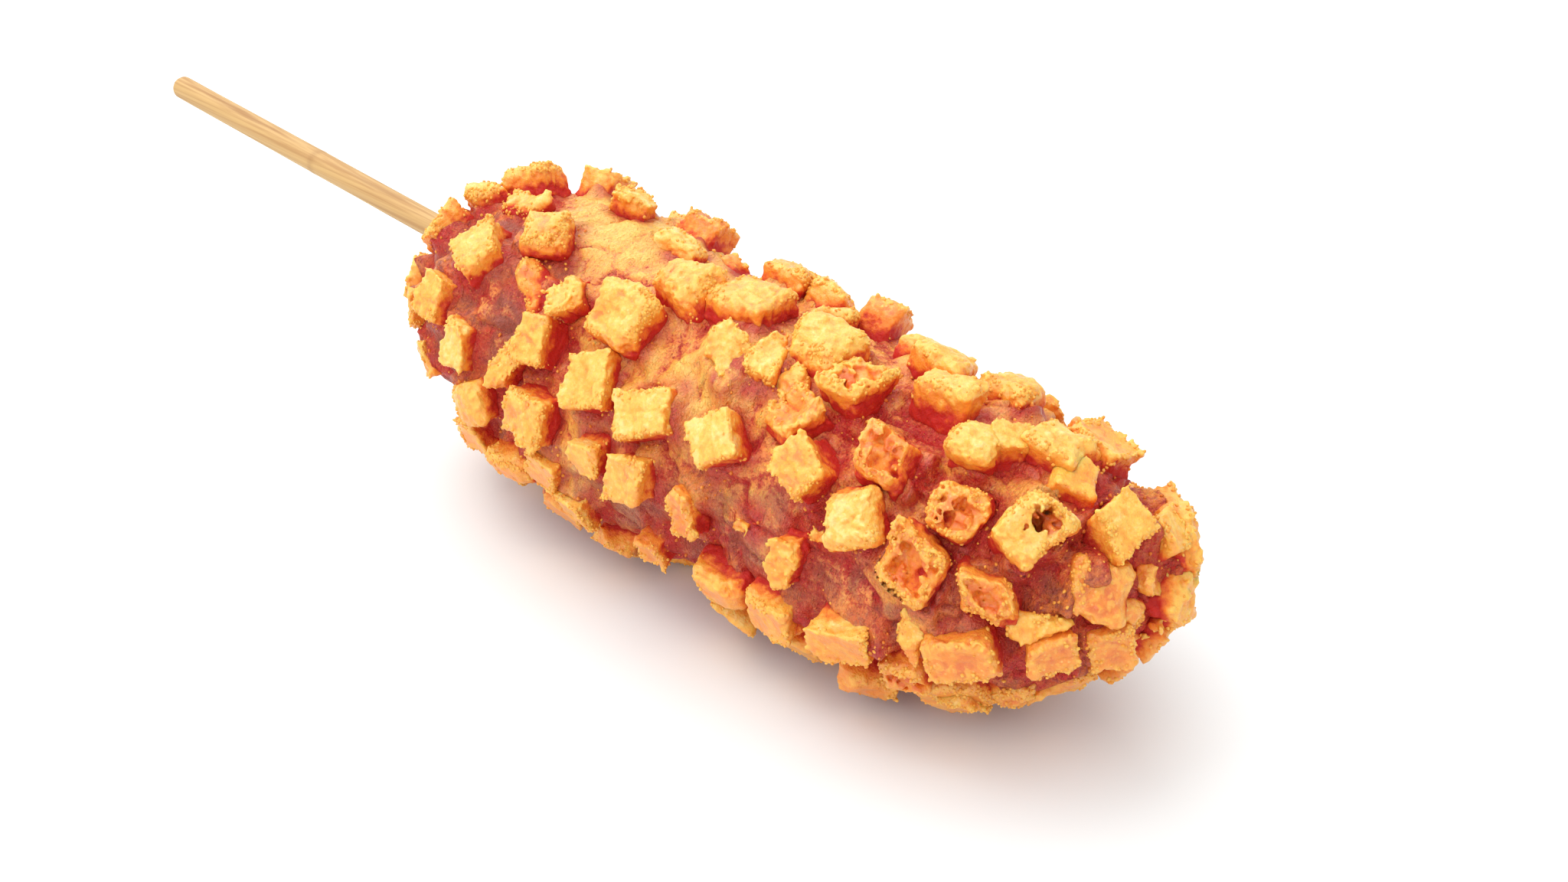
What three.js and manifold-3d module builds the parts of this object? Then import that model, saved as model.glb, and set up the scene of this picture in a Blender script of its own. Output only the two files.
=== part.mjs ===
// A potato corn dog on its stick, lying on its side: a fried batter body studded all over with
// fried potato pieces. Millimetres, +Z up; the food points along +X and the stick along -X.
// The origin is the middle of the whole, on the surface it lies on.

import * as THREE from 'three';
import { mergeVertices } from 'three/addons/utils/BufferGeometryUtils.js';
import Module from 'manifold-3d';

const wasm = await Module();
wasm.setup();

// ---------------------------------------------------------------- driving dimensions
const FOOD_LENGTH = 162; // along the stick, over the potato
const FOOD_GIRTH = 28.8; // radius over the potato where the food is thickest
const FOOD_TAPER = 0.02; // radius lost per millimetre towards the free end
const STICK_CAP = 35; // length of the rounding at the stick end
const FREE_CAP = 45; // length of the rounding at the free end
const CAP_POWER = 2.35; // 2 is an ellipse, more is blunter
const PROUD = 5.5; // how far a potato piece stands out of the batter
const SUNK = 2; // how far it is set into the batter
const GAP = 0.3; // clearance between solids that touch
const PITCH = THREE.MathUtils.degToRad(3); // the stick end is lifted by this much
const REST_CUT = 1.7; // depth of the flat spots that the food rests on

const STICK_RADIUS = 2.5;
const STICK_OUT = 105; // bare stick
const STICK_INSIDE = 145; // stick hidden in the food
const STICK_POINT = 9; // length of the point at the hidden end
const STICK_ROUNDING = 0.8; // rounding of the bare end
const STICK_SIDES = 20;

const BATTER_RINGS = 17;
const BATTER_SIDES = 16;
const BATTER_LUMP = 0.55; // how far the batter swells and dips
const BEVEL = 0.9; // worn edge of a potato piece
const CORNER_CUT = 0.3; // corner lost in plan, as a part of the half width
const SKEW = 0.1; // how far a corner strays, as a part of the half width
const PIT_RADIUS = 0.36; // pit in a hollow piece, as a part of its width
const STEP_ALONG = 0.5; // short steps that give the surface's slope, mm and radians
const STEP_AROUND = 0.02;

// The food's middle line, seen from the stick: it hangs a little low and to the right of it.
const MIDDLE = new THREE.CatmullRomCurve3([
  new THREE.Vector3(0, -3, -1),
  new THREE.Vector3(40, -4, -3),
  new THREE.Vector3(90, -4, -2.7),
  new THREE.Vector3(130, -3, -1.8),
  new THREE.Vector3(FOOD_LENGTH, 0.5, 2.5),
]);

const POTATO_COLOURS = {
  block: '#f5b64e', puffed: '#f3ad4c', hollow: '#eea045', chip: '#eea244', rough: '#e6bd74' };
const BATTER_COLOUR = '#a8452f';
const STICK_COLOUR = '#dcb885';

// Each potato piece that is a solid of its own, from the stick end to the free end: its kind, its
// place along the food (mm) and around it (degrees: 0 left, 90 top, 180 right, 270 below), its
// length and width, how proud it stands, and its turn (degrees).
const PIECES = [
  ['block', 5, 166, 7, 8, 5.5, 10],
  ['block', 9, 127, 9, 8.5, 5.5, 10],
  ['puffed', 12, 101, 7, 7, 4.5, -15],
  ['puffed', 15, 77, 9, 9, 5, 10],
  ['block', 23, 153, 7, 8.5, 5.5, 0],
  ['block', 22, 52, 7.5, 8.5, 6, 10],
  ['block', 28, 130, 9, 8.5, 6, -25],
  ['block', 33, 163, 7, 9, 5.5, 15],
  ['puffed', 36, 109, 9, 8, 5, 25],
  ['puffed', 37, 182, 9, 8, 5.5, 20],
  ['chip', 38, 69, 8.5, 7, 5, 20],
  ['chip', 46, 158, 5, 9.5, 5, -20],
  ['puffed', 45, 205, 9, 7, 5, 0],
  ['block', 48, 48, 10, 8.5, 7, 0],
  ['chip', 52, 127, 7.5, 6, 5, -45],
  ['block', 54, 172, 10, 9.5, 5.5, 0],
  ['puffed', 56, 79, 9, 6.5, 3.5, 0],
  ['block', 62, 207, 9.5, 7, 5, 10],
  ['puffed', 65, 125, 12, 10, 6, 10],
  ['block', 66, 150, 9.5, 10.5, 5.5, 20],
  ['puffed', 69, 101, 11.5, 8.5, 5, 0],
  ['block', 69, 176, 7, 7.5, 5, 0],
  ['puffed', 74, 55, 10, 8, 5.5, 0],
  ['block', 80, 150, 12, 8.5, 5.5, 25],
  ['block', 80, 174, 8.5, 8.5, 5.5, 5],
  ['puffed', 81, 93, 12.5, 9.5, 5.5, 0],
  ['block', 82, 207, 6.5, 6.5, 5, 0],
  ['puffed', 84, 53, 8.5, 8, 5.5, 0],
  ['chip', 88, 120, 9, 7.5, 5, -20],
  ['chip', 92, 177, 6, 10, 5, 0],
  ['block', 93, 47, 8.5, 8.5, 7, 0],
  ['block', 95, 147, 9, 8.5, 5.5, -45],
  ['puffed', 99, 203, 9.5, 7, 5, 0],
  ['puffed', 100, 98, 11, 9, 5.5, 10],
  ['chip', 105, 124, 6.5, 8.5, 5, -20],
  ['hollow', 110, 104, 8.5, 9, 5.5, 0],
  ['block', 113, 141, 8.5, 8.5, 6, -30],
  ['block', 112, 200, 11, 8, 5, 0],
  ['chip', 114, 172, 5, 9, 5, 0],
  ['puffed', 115, 70, 11, 7.5, 5, 0],
  ['puffed', 123, 89, 10, 7, 5, 0],
  ['hollow', 124, 125, 10.5, 8.5, 6, 0],
  ['rough', 124, 148, 9, 9, 5, 20],
  ['block', 127, 193, 11, 8.5, 6, 5],
  ['puffed', 126, 63, 9.5, 8, 4.5, 0],
  ['puffed', 134, 106, 6.5, 8, 5, 0],
  ['hollow', 135, 156, 10, 9, 5.5, -20],
  ['hollow', 135, 207, 8.5, 7.5, 5, 0],
  ['hollow', 138, 132, 8.5, 8.5, 5.5, 0],
  ['hollow', 146, 161, 8, 7.5, 5.5, 0],
  ['block', 144, 189, 10.5, 7.5, 6, 0],
  ['block', 144, 60, 9.5, 9, 5, 0],
  ['hollow', 147.5, 129, 11, 10.5, 7, 20],
  ['block', 154, 190, 8, 8, 6, 0],
  ['block', 155, 102, 8.5, 9, 6, -10],
  ['block', 153, 30, 7, 7, 6.5, 0],
  ['puffed', 157.5, 146, 9.5, 9, 5.5, 0],
  ['block', 159.5, 199, 7.5, 7.5, 5, 0],
];

// The far side and the underside carry the same pieces in staggered rows, as one solid with the
// batter: the first row's and last row's place around, and the spacing along a row.
const ROW_FIRST = 226;
const ROW_STEP = 28;
const ROWS = 7;
const ROW_START = 9;
const ROW_END = 158;
const ROW_SPACING = 14.5;
const ROW_SMALLEST = [7.5, 7, 3.8]; // length, width and how proud
const ROW_RANGE = [2.5, 2, 1.2]; // the most that is added to each
const ROW_TURN = 70; // range of the turns, degrees
const ROW_STRAY_ALONG = 4; // range of the strays along, mm
const ROW_STRAY_AROUND = 8; // range of the strays around, degrees
const ROW_ROOM = 8; // a row's piece is left out where a separate one stands nearer than this
const END_PIECES = [0, 300]; // places around of the last pieces beside the free end's tip
const END_ALONG = 160.6;

// ---------------------------------------------------------------- helpers
/** A repeatable stream of numbers from 0 to 1. */
function seeded(seed) {
  let state = seed * 7919 + 17;
  return () => {
    state = (state * 16807) % 2147483647;
    return state / 2147483647;
  };
}

/** Turns a closed geometry into a solid that can be cut and joined. */
function solidOf(geometry) {
  const bare = geometry.clone();
  bare.deleteAttribute('normal');
  bare.deleteAttribute('uv');
  const merged = mergeVertices(bare, 1e-4);
  const triangles = [];
  for (let i = 0; i < merged.index.count; i += 3) {
    const [a, b, c] = [0, 1, 2].map((k) => merged.index.getX(i + k));
    if (a !== b && b !== c && c !== a) triangles.push(a, b, c);
  }
  return new wasm.Manifold(
    new wasm.Mesh({
      numProp: 3,
      vertProperties: new Float32Array(merged.attributes.position.array),
      triVerts: new Uint32Array(triangles),
    }),
  );
}

/** Turns a solid back into a geometry. */
function geometryOf(solid) {
  const mesh = solid.getMesh();
  const geometry = new THREE.BufferGeometry();
  geometry.setAttribute('position', new THREE.BufferAttribute(mesh.vertProperties, 3));
  geometry.setIndex(new THREE.BufferAttribute(mesh.triVerts, 1));
  geometry.computeVertexNormals();
  return geometry;
}

/** A named mesh with its own material. */
function makeMesh(name, geometry, colour, roughness) {
  const material = new THREE.MeshStandardMaterial({ color: colour, roughness, metalness: 0 });
  const mesh = new THREE.Mesh(geometry, material);
  mesh.name = name;
  return mesh;
}

// ---------------------------------------------------------------- the food's outline
/** Rounding of an end: 0 at the tip, 1 where the cap meets the straight body. */
function cap(distance, length) {
  const inward = 1 - Math.min(Math.max(distance / length, 0), 1);
  return (1 - inward ** CAP_POWER) ** (1 / CAP_POWER);
}

/** Radius over the potato at a place along the food. */
function girth(along) {
  const body = FOOD_GIRTH - FOOD_TAPER * Math.max(along - FOOD_LENGTH / 3, 0);
  return body * cap(along, STICK_CAP) * cap(FOOD_LENGTH - along, FREE_CAP);
}

/** A point at a place along and around (radians) the food, some depth below its outline. */
function foodPoint(along, around, depth) {
  const outer = girth(along);
  const radius = outer - depth * Math.min(outer / (FOOD_GIRTH / 2), 1);
  const x = depth + (along * (FOOD_LENGTH - 2 * depth)) / FOOD_LENGTH;
  const middle = middleAt(along);
  return new THREE.Vector3(x, middle.y + radius * Math.cos(around), middle.z + radius * Math.sin(around));
}

/** The middle line's point whose x is the place along the food. */
function middleAt(along) {
  let [low, high] = [0, 1];
  for (let step = 0; step < 20; step += 1) {
    const middle = (low + high) / 2;
    if (MIDDLE.getPoint(middle).x < along) low = middle;
    else high = middle;
  }
  return MIDDLE.getPoint(low);
}

/** How far the batter swells at a place: two crossing waves that die out at the tips. */
function lump(along, around) {
  const waves = Math.sin(along / 9 + 2 * around) + Math.sin(3 * around - along / 15 + 1);
  return BATTER_LUMP * waves * cap(along, STICK_CAP) * cap(FOOD_LENGTH - along, FREE_CAP);
}

/** The batter: a lathe form bent along the middle line and swollen unevenly. */
function batterGeometry() {
  const profile = [];
  for (let ring = 0; ring <= BATTER_RINGS; ring += 1) {
    const along = (FOOD_LENGTH * (1 - Math.cos((Math.PI * ring) / BATTER_RINGS))) / 2;
    const onAxis = ring === 0 || ring === BATTER_RINGS;
    profile.push(new THREE.Vector2(onAxis ? 0 : 1, along));
  }
  const geometry = new THREE.LatheGeometry(profile, BATTER_SIDES);
  const position = geometry.attributes.position;
  for (let i = 0; i < position.count; i += 1) {
    const along = position.getY(i);
    const around = Math.atan2(position.getX(i), position.getZ(i));
    const point = foodPoint(along, around, PROUD - lump(along, around));
    position.setXYZ(i, point.x, point.y, point.z);
  }
  return geometry;
}

// ---------------------------------------------------------------- the potato pieces
/** Reads one row of the list of pieces. */
function readPiece([kind, along, around, length, width, proud, turn], index) {
  const angles = { around: THREE.MathUtils.degToRad(around), turn: THREE.MathUtils.degToRad(turn) };
  return { kind, along, ...angles, length, width, proud, seed: index + 1 };
}

/** A number from 0 to 1 that depends only on a piece's place in the rows. */
function chance(index, use) {
  const value = Math.sin(index * 12.9898 + use * 78.233) * 43758.5453;
  return value - Math.floor(value);
}

/** The pieces of the far side and the underside, row by row, then those at the tip. */
function rowPieces() {
  const rows = [];
  const add = (along, around) => {
    const n = rows.length;
    const [length, width, proud] = [0, 1, 2].map((k) => ROW_SMALLEST[k] + ROW_RANGE[k] * chance(n, k + 1));
    const turn = ROW_TURN * (chance(n, 4) - 0.5);
    rows.push(readPiece(['block', along, around, length, width, proud, turn], PIECES.length + n));
  };
  for (let row = 0; row < ROWS; row += 1) {
    for (let along = ROW_START + (row % 2) * (ROW_SPACING / 2); along < ROW_END; along += ROW_SPACING) {
      const n = rows.length;
      const around = ROW_FIRST + ROW_STEP * row + ROW_STRAY_AROUND * (chance(n, 6) - 0.5);
      add(along + ROW_STRAY_ALONG * (chance(n, 5) - 0.5), around);
    }
  }
  END_PIECES.forEach((around) => add(END_ALONG, around));
  return rows;
}

/** Where a piece stands: its own Z points out of the food, its X along it. */
function pieceMatrix(piece) {
  const seatAt = (along, around) => foodPoint(piece.along + along, piece.around + around, PROUD);
  const seat = seatAt(0, 0);
  const along = seatAt(STEP_ALONG, 0).sub(seatAt(-STEP_ALONG, 0));
  const around = seatAt(0, STEP_AROUND).sub(seatAt(0, -STEP_AROUND));
  const out = new THREE.Vector3().crossVectors(around, along).normalize();
  const side = new THREE.Vector3().crossVectors(out, along).normalize();
  const forward = new THREE.Vector3().crossVectors(side, out);
  const matrix = new THREE.Matrix4().makeBasis(forward, side, out).setPosition(seat);
  return matrix.multiply(new THREE.Matrix4().makeRotationZ(piece.turn));
}

/** The piece with its matrix. */
function placed(piece) {
  return { ...piece, matrix: pieceMatrix(piece) };
}

/** How far apart two pieces stand. */
function apart(one, other) {
  const [from, to] = [one, other].map((piece) => new THREE.Vector3().setFromMatrixPosition(piece.matrix));
  return from.distanceTo(to);
}

/** The four strayed corners of a piece in plan. */
function pieceCorners(piece, grow) {
  const random = seeded(piece.seed);
  const half = [piece.length / 2, piece.width / 2];
  return [[1, 1], [-1, 1], [-1, -1], [1, -1]].map(([x, y]) => new THREE.Vector2(
    x * (half[0] * (1 - random() * SKEW) + grow), y * (half[1] * (1 - random() * SKEW) + grow)));
}

/** The same outline with each corner cut off. */
function cutCorners(corners, cut) {
  return corners.flatMap((corner, i) => [corners[(i + 3) % 4], corners[(i + 1) % 4]].map(
    (neighbour) => corner.clone().add(neighbour.clone().sub(corner).setLength(cut))));
}

/** One potato piece in its own frame, set SUNK deep; a hollow one has a pit in its top. */
function pieceSolid(piece) {
  const cut = (CORNER_CUT * Math.min(piece.length, piece.width)) / 2;
  const geometry = new THREE.ExtrudeGeometry(new THREE.Shape(cutCorners(pieceCorners(piece, 0), cut)), {
    depth: piece.proud + SUNK - 2 * BEVEL,
    bevelThickness: BEVEL, bevelSize: BEVEL, bevelOffset: -BEVEL, bevelSegments: 1 });
  const solid = solidOf(geometry.translate(0, 0, BEVEL - SUNK));
  if (piece.kind !== 'hollow') return solid;
  const radius = PIT_RADIUS * Math.min(piece.length, piece.width);
  return solid.subtract(solidOf(new THREE.SphereGeometry(radius, 7, 5).translate(0, 0, piece.proud)));
}

/** A plain block round a piece: the room it takes when grown, the piece itself when not. */
function blockSolid(piece, grow) {
  const geometry = new THREE.ExtrudeGeometry(new THREE.Shape(pieceCorners(piece, grow)), {
    depth: piece.proud + SUNK + 2 * grow, bevelEnabled: false });
  return solidOf(geometry.translate(0, 0, -SUNK - grow));
}

/** A solid moved by a matrix. */
function moved(solid, matrix) {
  return solidOf(geometryOf(solid).applyMatrix4(matrix));
}

/** A piece cut back, in its own frame, where an earlier one or the ground is in its way. */
function trimmedPiece(piece, earlier, ground) {
  const home = piece.matrix.clone().invert();
  let solid = pieceSolid(piece).subtract(moved(ground, home));
  for (const other of earlier) {
    if (apart(piece, other) > (piece.length + piece.width + other.length + other.width) / 2) continue;
    solid = solid.subtract(moved(blockSolid(other, GAP), home.clone().multiply(other.matrix)));
  }
  return solid;
}

// ---------------------------------------------------------------- the stick
/** The stick, or the hole for it when grown: a round rod from its bare end to its hidden point. */
function stickGeometry(grow) {
  const radius = STICK_RADIUS + grow;
  const end = STICK_INSIDE + grow;
  const profile = new THREE.Path().moveTo(0, -STICK_OUT).lineTo(radius - STICK_ROUNDING, -STICK_OUT);
  const rounding = [radius - STICK_ROUNDING, STICK_ROUNDING - STICK_OUT, STICK_ROUNDING];
  profile.absarc(...rounding, -Math.PI / 2, 0, false);
  profile.lineTo(radius, end - STICK_POINT).lineTo(0, end);
  return new THREE.LatheGeometry(profile.getPoints(2), STICK_SIDES).rotateZ(-Math.PI / 2);
}

// ---------------------------------------------------------------- the ground
/** Everything below the flat spots, in the food's own frame. */
function groundSolid(solid) {
  const lean = new THREE.Matrix4().makeRotationY(PITCH);
  const box = new THREE.Box3().setFromBufferAttribute(geometryOf(moved(solid, lean)).attributes.position);
  const slab = new THREE.BoxGeometry(4 * FOOD_LENGTH, 4 * FOOD_GIRTH, FOOD_GIRTH);
  slab.translate(0, 0, box.min.z + REST_CUT - FOOD_GIRTH / 2);
  return solidOf(slab.applyMatrix4(lean.invert()));
}

// ---------------------------------------------------------------- assembly
const pieces = PIECES.map(readPiece).map(placed);
const standsClear = (row) => pieces.every((piece) => apart(row, piece) > ROW_ROOM);
const inBatter = rowPieces().map(placed).filter(standsClear);

let batter = solidOf(batterGeometry());
for (const piece of inBatter) batter = batter.add(moved(blockSolid(piece, 0), piece.matrix));
const ground = groundSolid(batter);
batter = batter.subtract(ground).subtract(solidOf(stickGeometry(GAP)));
for (const piece of pieces) batter = batter.subtract(moved(blockSolid(piece, GAP), piece.matrix));

const food = new THREE.Group();
food.add(makeMesh('batter', geometryOf(batter), BATTER_COLOUR, 0.45));
food.add(makeMesh('stick', stickGeometry(0), STICK_COLOUR, 0.6));
pieces.forEach((piece, index) => {
  const name = `potato_${piece.kind}_${String(index + 1).padStart(2, '0')}`;
  const solid = trimmedPiece(piece, pieces.slice(0, index), ground);
  const mesh = makeMesh(name, geometryOf(solid), POTATO_COLOURS[piece.kind], 0.5);
  mesh.applyMatrix4(piece.matrix);
  food.add(mesh);
});
food.rotation.y = PITCH;

const cornDog = new THREE.Group();
cornDog.add(food);
const extent = new THREE.Box3().setFromObject(cornDog, true);
const middle = extent.getCenter(new THREE.Vector3());
food.position.set(-middle.x, -middle.y, -extent.min.z);
export default cornDog;
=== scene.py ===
"""The looks of a potato corn dog on its stick: the fried batter, the potato pieces set in it, the
crumbs on it and the bamboo stick. Shapes are worked out in the food's own frame, in millimetres,
with X along the food from its stick end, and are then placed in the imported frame, in metres."""

from __future__ import annotations

import logging
import math
from dataclasses import dataclass, field
from enum import Enum

import bpy
import numpy as np
import openvdb
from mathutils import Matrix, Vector

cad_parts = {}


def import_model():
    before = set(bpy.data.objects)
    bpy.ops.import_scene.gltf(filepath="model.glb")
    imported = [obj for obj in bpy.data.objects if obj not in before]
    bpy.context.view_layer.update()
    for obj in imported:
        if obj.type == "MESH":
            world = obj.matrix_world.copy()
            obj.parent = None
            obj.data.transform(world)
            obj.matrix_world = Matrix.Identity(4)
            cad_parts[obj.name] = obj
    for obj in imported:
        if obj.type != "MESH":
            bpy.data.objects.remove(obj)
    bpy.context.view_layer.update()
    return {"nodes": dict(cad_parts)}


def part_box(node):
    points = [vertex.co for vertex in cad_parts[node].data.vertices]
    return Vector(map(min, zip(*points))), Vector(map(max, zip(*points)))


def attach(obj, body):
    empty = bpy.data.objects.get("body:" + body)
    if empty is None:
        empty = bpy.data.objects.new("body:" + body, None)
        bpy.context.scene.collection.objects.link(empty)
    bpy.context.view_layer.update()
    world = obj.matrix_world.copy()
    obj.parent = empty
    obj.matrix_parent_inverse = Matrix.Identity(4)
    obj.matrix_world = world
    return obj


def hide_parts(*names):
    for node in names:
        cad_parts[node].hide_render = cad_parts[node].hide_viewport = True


LOG = logging.getLogger("corn_dog")
MM = 0.001
BODY = "root"
Triple = tuple[float, float, float]
Colour = Triple


# ---------------------------------------------------------------------------- noise
class Noise:
    """Smooth noise in space, about -1 to 1, the same for the same seed."""

    CELLS = 32
    SPREAD = 1.5
    SHIFT = 7.3

    def __init__(self, seed: int) -> None:
        """Draws the table of values.

        Args:
            seed: which noise this is.
        """
        table = np.random.default_rng(seed).uniform(-1.0, 1.0, (self.CELLS,) * 3)
        self.table = (self.SPREAD * table).astype(np.float32)

    def at(self, points: np.ndarray, wavelength: float) -> np.ndarray:
        """Reads the noise.

        Args:
            points: places, in the last axis.
            wavelength: size of its lumps, in the points' units.

        Returns:
            One value for each place.
        """
        scaled = np.asarray(points, np.float32) / np.float32(wavelength)
        cell = np.floor(scaled)
        part = scaled - cell
        part = part * part * (3 - 2 * part)
        near = cell.astype(np.int64) % self.CELLS
        far = (near + 1) % self.CELLS
        total = np.zeros(scaled.shape[:-1], np.float32)
        for corner in range(8):
            ahead = [(corner >> axis) & 1 for axis in range(3)]
            index = [(far if ahead[k] else near)[..., k] for k in range(3)]
            shares = [part[..., k] if ahead[k] else 1 - part[..., k] for k in range(3)]
            total += shares[0] * shares[1] * shares[2] * self.table[tuple(index)]
        return total

    def layered(self, points: np.ndarray, wavelength: float, layers: int) -> np.ndarray:
        """Adds up finer and finer noise.

        Args:
            points: places, in the last axis.
            wavelength: size of the largest lumps.
            layers: how many sizes are added, each half the last.

        Returns:
            One value for each place.
        """
        return sum(self.at(points + self.SHIFT * k, wavelength / 2**k) / 2**k for k in range(layers))


class Pores:
    """Scattered points in space, one in each cell, for pores and grains."""

    CELLS = 24

    def __init__(self, seed: int) -> None:
        """Draws each cell's point.

        Args:
            seed: which scatter this is.
        """
        self.table = np.random.default_rng(seed).random((self.CELLS,) * 3 + (3,)).astype(np.float32)

    def distance(self, points: np.ndarray, cell_size: float) -> np.ndarray:
        """Measures how far each place is from the nearest scattered point of the cells round it.

        Args:
            points: places, in the last axis.
            cell_size: side of a cell, in the points' units.

        Returns:
            The distance for each place, in the points' units.
        """
        scaled = np.asarray(points, np.float32) / np.float32(cell_size)
        cell = np.floor(scaled - 0.5).astype(np.int32)
        nearest = np.full(scaled.shape[:-1], 9.0, np.float32)
        flat_table = self.table.reshape(-1, 3)
        for corner in range(8):
            home = cell + np.array([(corner >> axis) & 1 for axis in range(3)], np.int32)
            index = home % self.CELLS
            place = (index[..., 0] * self.CELLS + index[..., 1]) * self.CELLS + index[..., 2]
            away = home - scaled + flat_table[place]
            nearest = np.minimum(nearest, np.einsum("...k,...k->...", away, away))
        return np.sqrt(nearest) * cell_size


def smooth(value: np.ndarray, low: float, high: float) -> np.ndarray:
    """A smooth step from 0 at low to 1 at high."""
    share = np.clip((value - low) / (high - low), 0, 1)
    return share * share * (3 - 2 * share)


def fading(gap: np.ndarray, width: float) -> np.ndarray:
    """1 where a gap is closed, less and less over about a width."""
    return np.exp(-((np.maximum(gap, 0) / width) ** 2))


def read_points(mesh: bpy.types.Mesh) -> np.ndarray:
    """Reads the places of a mesh's vertices.

    Args:
        mesh: the mesh.

    Returns:
        One row for each vertex.
    """
    points = np.zeros(len(mesh.vertices) * 3)
    mesh.vertices.foreach_get("co", points)
    return points.reshape(-1, 3)


def link(name: str, data: bpy.types.ID) -> bpy.types.Object:
    """Makes an object of the scene.

    Args:
        name: the object's name.
        data: its mesh, light or camera.

    Returns:
        The object.
    """
    made = bpy.data.objects.new(name, data)
    bpy.context.scene.collection.objects.link(made)
    return made


# ---------------------------------------------------------------------------- the food's frame
@dataclass(frozen=True)
class Food:
    """The food's own frame and outline, in millimetres.

    Its middle line hangs a little low and to the right of the stick, and the outline over the
    potato is round, with a blunt cap at each end.

    Attributes:
        origin: where the food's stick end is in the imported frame.
        pitch: how far the food leans down towards its free end.
        length: length of the food.
        girth: radius over the potato at the fullest place.
        taper: how fast that shrinks towards the free end.
        stick_cap, free_cap: lengths of the rounded ends.
        cap_power: how blunt they are.
        proud: how far the potato stands over the batter.
        stick_radius, stick_rounding, stick_out: the stick's radius, rounded edge and bare length.
        middle_x, middle_y, middle_z: the middle line's knots.
    """

    origin: np.ndarray
    pitch: float = math.radians(3)
    length: float = 162.0
    girth: float = 28.8
    taper: float = 0.02
    stick_cap: float = 35.0
    free_cap: float = 45.0
    cap_power: float = 2.35
    proud: float = 5.5
    stick_radius: float = 2.5
    stick_rounding: float = 0.8
    stick_out: float = 105.0
    middle_x: tuple[float, ...] = (0, 40, 90, 130, 162)
    middle_y: tuple[float, ...] = (-3, -4, -4, -3, 0.5)
    middle_z: tuple[float, ...] = (-1, -3, -2.7, -1.8, 2.5)

    @classmethod
    def from_frame(cls) -> Food:
        """Finds the food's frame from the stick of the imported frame.

        Returns:
            The food's frame and outline.
        """
        low, high = (np.array(corner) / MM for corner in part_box("stick"))
        sine, cosine = math.sin(cls.pitch), math.cos(cls.pitch)
        x = low[0] + cls.stick_out * cosine + (cls.stick_radius - cls.stick_rounding) * sine
        z = high[2] - (cls.stick_out - cls.stick_rounding) * sine - cls.stick_radius * cosine
        return cls(np.array([x, (low[1] + high[1]) / 2, z]))

    @property
    def turn(self) -> np.ndarray:
        """The rotation from the food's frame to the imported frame."""
        sine, cosine = math.sin(self.pitch), math.cos(self.pitch)
        return np.array([[cosine, 0, sine], [0, 1, 0], [-sine, 0, cosine]])

    def to_world(self, points: np.ndarray) -> np.ndarray:
        """Places points of the food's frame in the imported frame, in metres."""
        return (points @ self.turn.T + self.origin) * MM

    def from_world(self, points: np.ndarray) -> np.ndarray:
        """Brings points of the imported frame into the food's frame, in millimetres."""
        return (points / MM - self.origin) @ self.turn

    def cap(self, distance: np.ndarray, length: float) -> np.ndarray:
        """Rounding of an end: 0 at the tip, 1 where the cap meets the straight body."""
        inward = 1 - np.clip(distance / length, 0, 1)
        return (1 - inward**self.cap_power) ** (1 / self.cap_power)

    def radius(self, along: np.ndarray) -> np.ndarray:
        """Radius over the potato at places along the food."""
        body = self.girth - self.taper * np.maximum(along - self.length / 3, 0)
        return body * self.cap(along, self.stick_cap) * self.cap(self.length - along, self.free_cap)

    def middle(self, along: np.ndarray) -> tuple[np.ndarray, np.ndarray]:
        """Finds the middle line.

        Args:
            along: places along the food.

        Returns:
            The line's y and z there.
        """
        knots = np.array(self.middle_x, float)
        index = np.clip(np.searchsorted(knots, along) - 1, 0, len(knots) - 2)
        span = knots[index + 1] - knots[index]
        t = (along - knots[index]) / span
        found = []
        for values in (np.array(self.middle_y, float), np.array(self.middle_z, float)):
            slope = np.gradient(values, knots)
            start = (1 + 2 * t) * (1 - t) ** 2 * values[index] + t * (1 - t) ** 2 * span * slope[index]
            end = t**2 * (3 - 2 * t) * values[index + 1] - t**2 * (1 - t) * span * slope[index + 1]
            found.append(start + end)
        return found[0], found[1]

    def point(self, along: np.ndarray, around: np.ndarray, depth: np.ndarray | float) -> np.ndarray:
        """Finds points below the outline.

        Args:
            along: places along the food.
            around: angles round it: 0 left, a quarter turn top.
            depth: depth below the outline.

        Returns:
            The points, in the food's frame.
        """
        outer = self.radius(along)
        inner = outer - depth * np.minimum(outer / (self.girth / 2), 1)
        y, z = self.middle(along)
        x = depth + along * (self.length - 2 * depth) / self.length
        return np.stack(np.broadcast_arrays(x, y + inner * np.cos(around), z + inner * np.sin(around)), -1)

    def seat(self, along: float, around: float, turn: float) -> np.ndarray:
        """Finds where a piece stands on the batter.

        Args:
            along: its place along the food.
            around: its angle round the food.
            turn: how far it is turned on its seat.

        Returns:
            A 4x4 matrix from the piece's own frame, whose Z points out of the food.
        """
        step, turned = 0.5, 0.02
        at = [self.point(np.float64(along + a), np.float64(around + b), self.proud)
              for a, b in ((0, 0), (-step, 0), (step, 0), (0, -turned), (0, turned))]
        lengthwise, round_it = at[2] - at[1], at[4] - at[3]
        out = np.cross(round_it, lengthwise)
        side = np.cross(out, lengthwise)
        forward = np.cross(side, out)
        basis = [axis / np.linalg.norm(axis) for axis in (forward, side, out)]
        sine, cosine = math.sin(turn), math.cos(turn)
        matrix = np.eye(4)
        matrix[:3, 0] = cosine * basis[0] + sine * basis[1]
        matrix[:3, 1] = cosine * basis[1] - sine * basis[0]
        matrix[:3, 2] = basis[2]
        matrix[:3, 3] = at[0]
        return matrix


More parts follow.
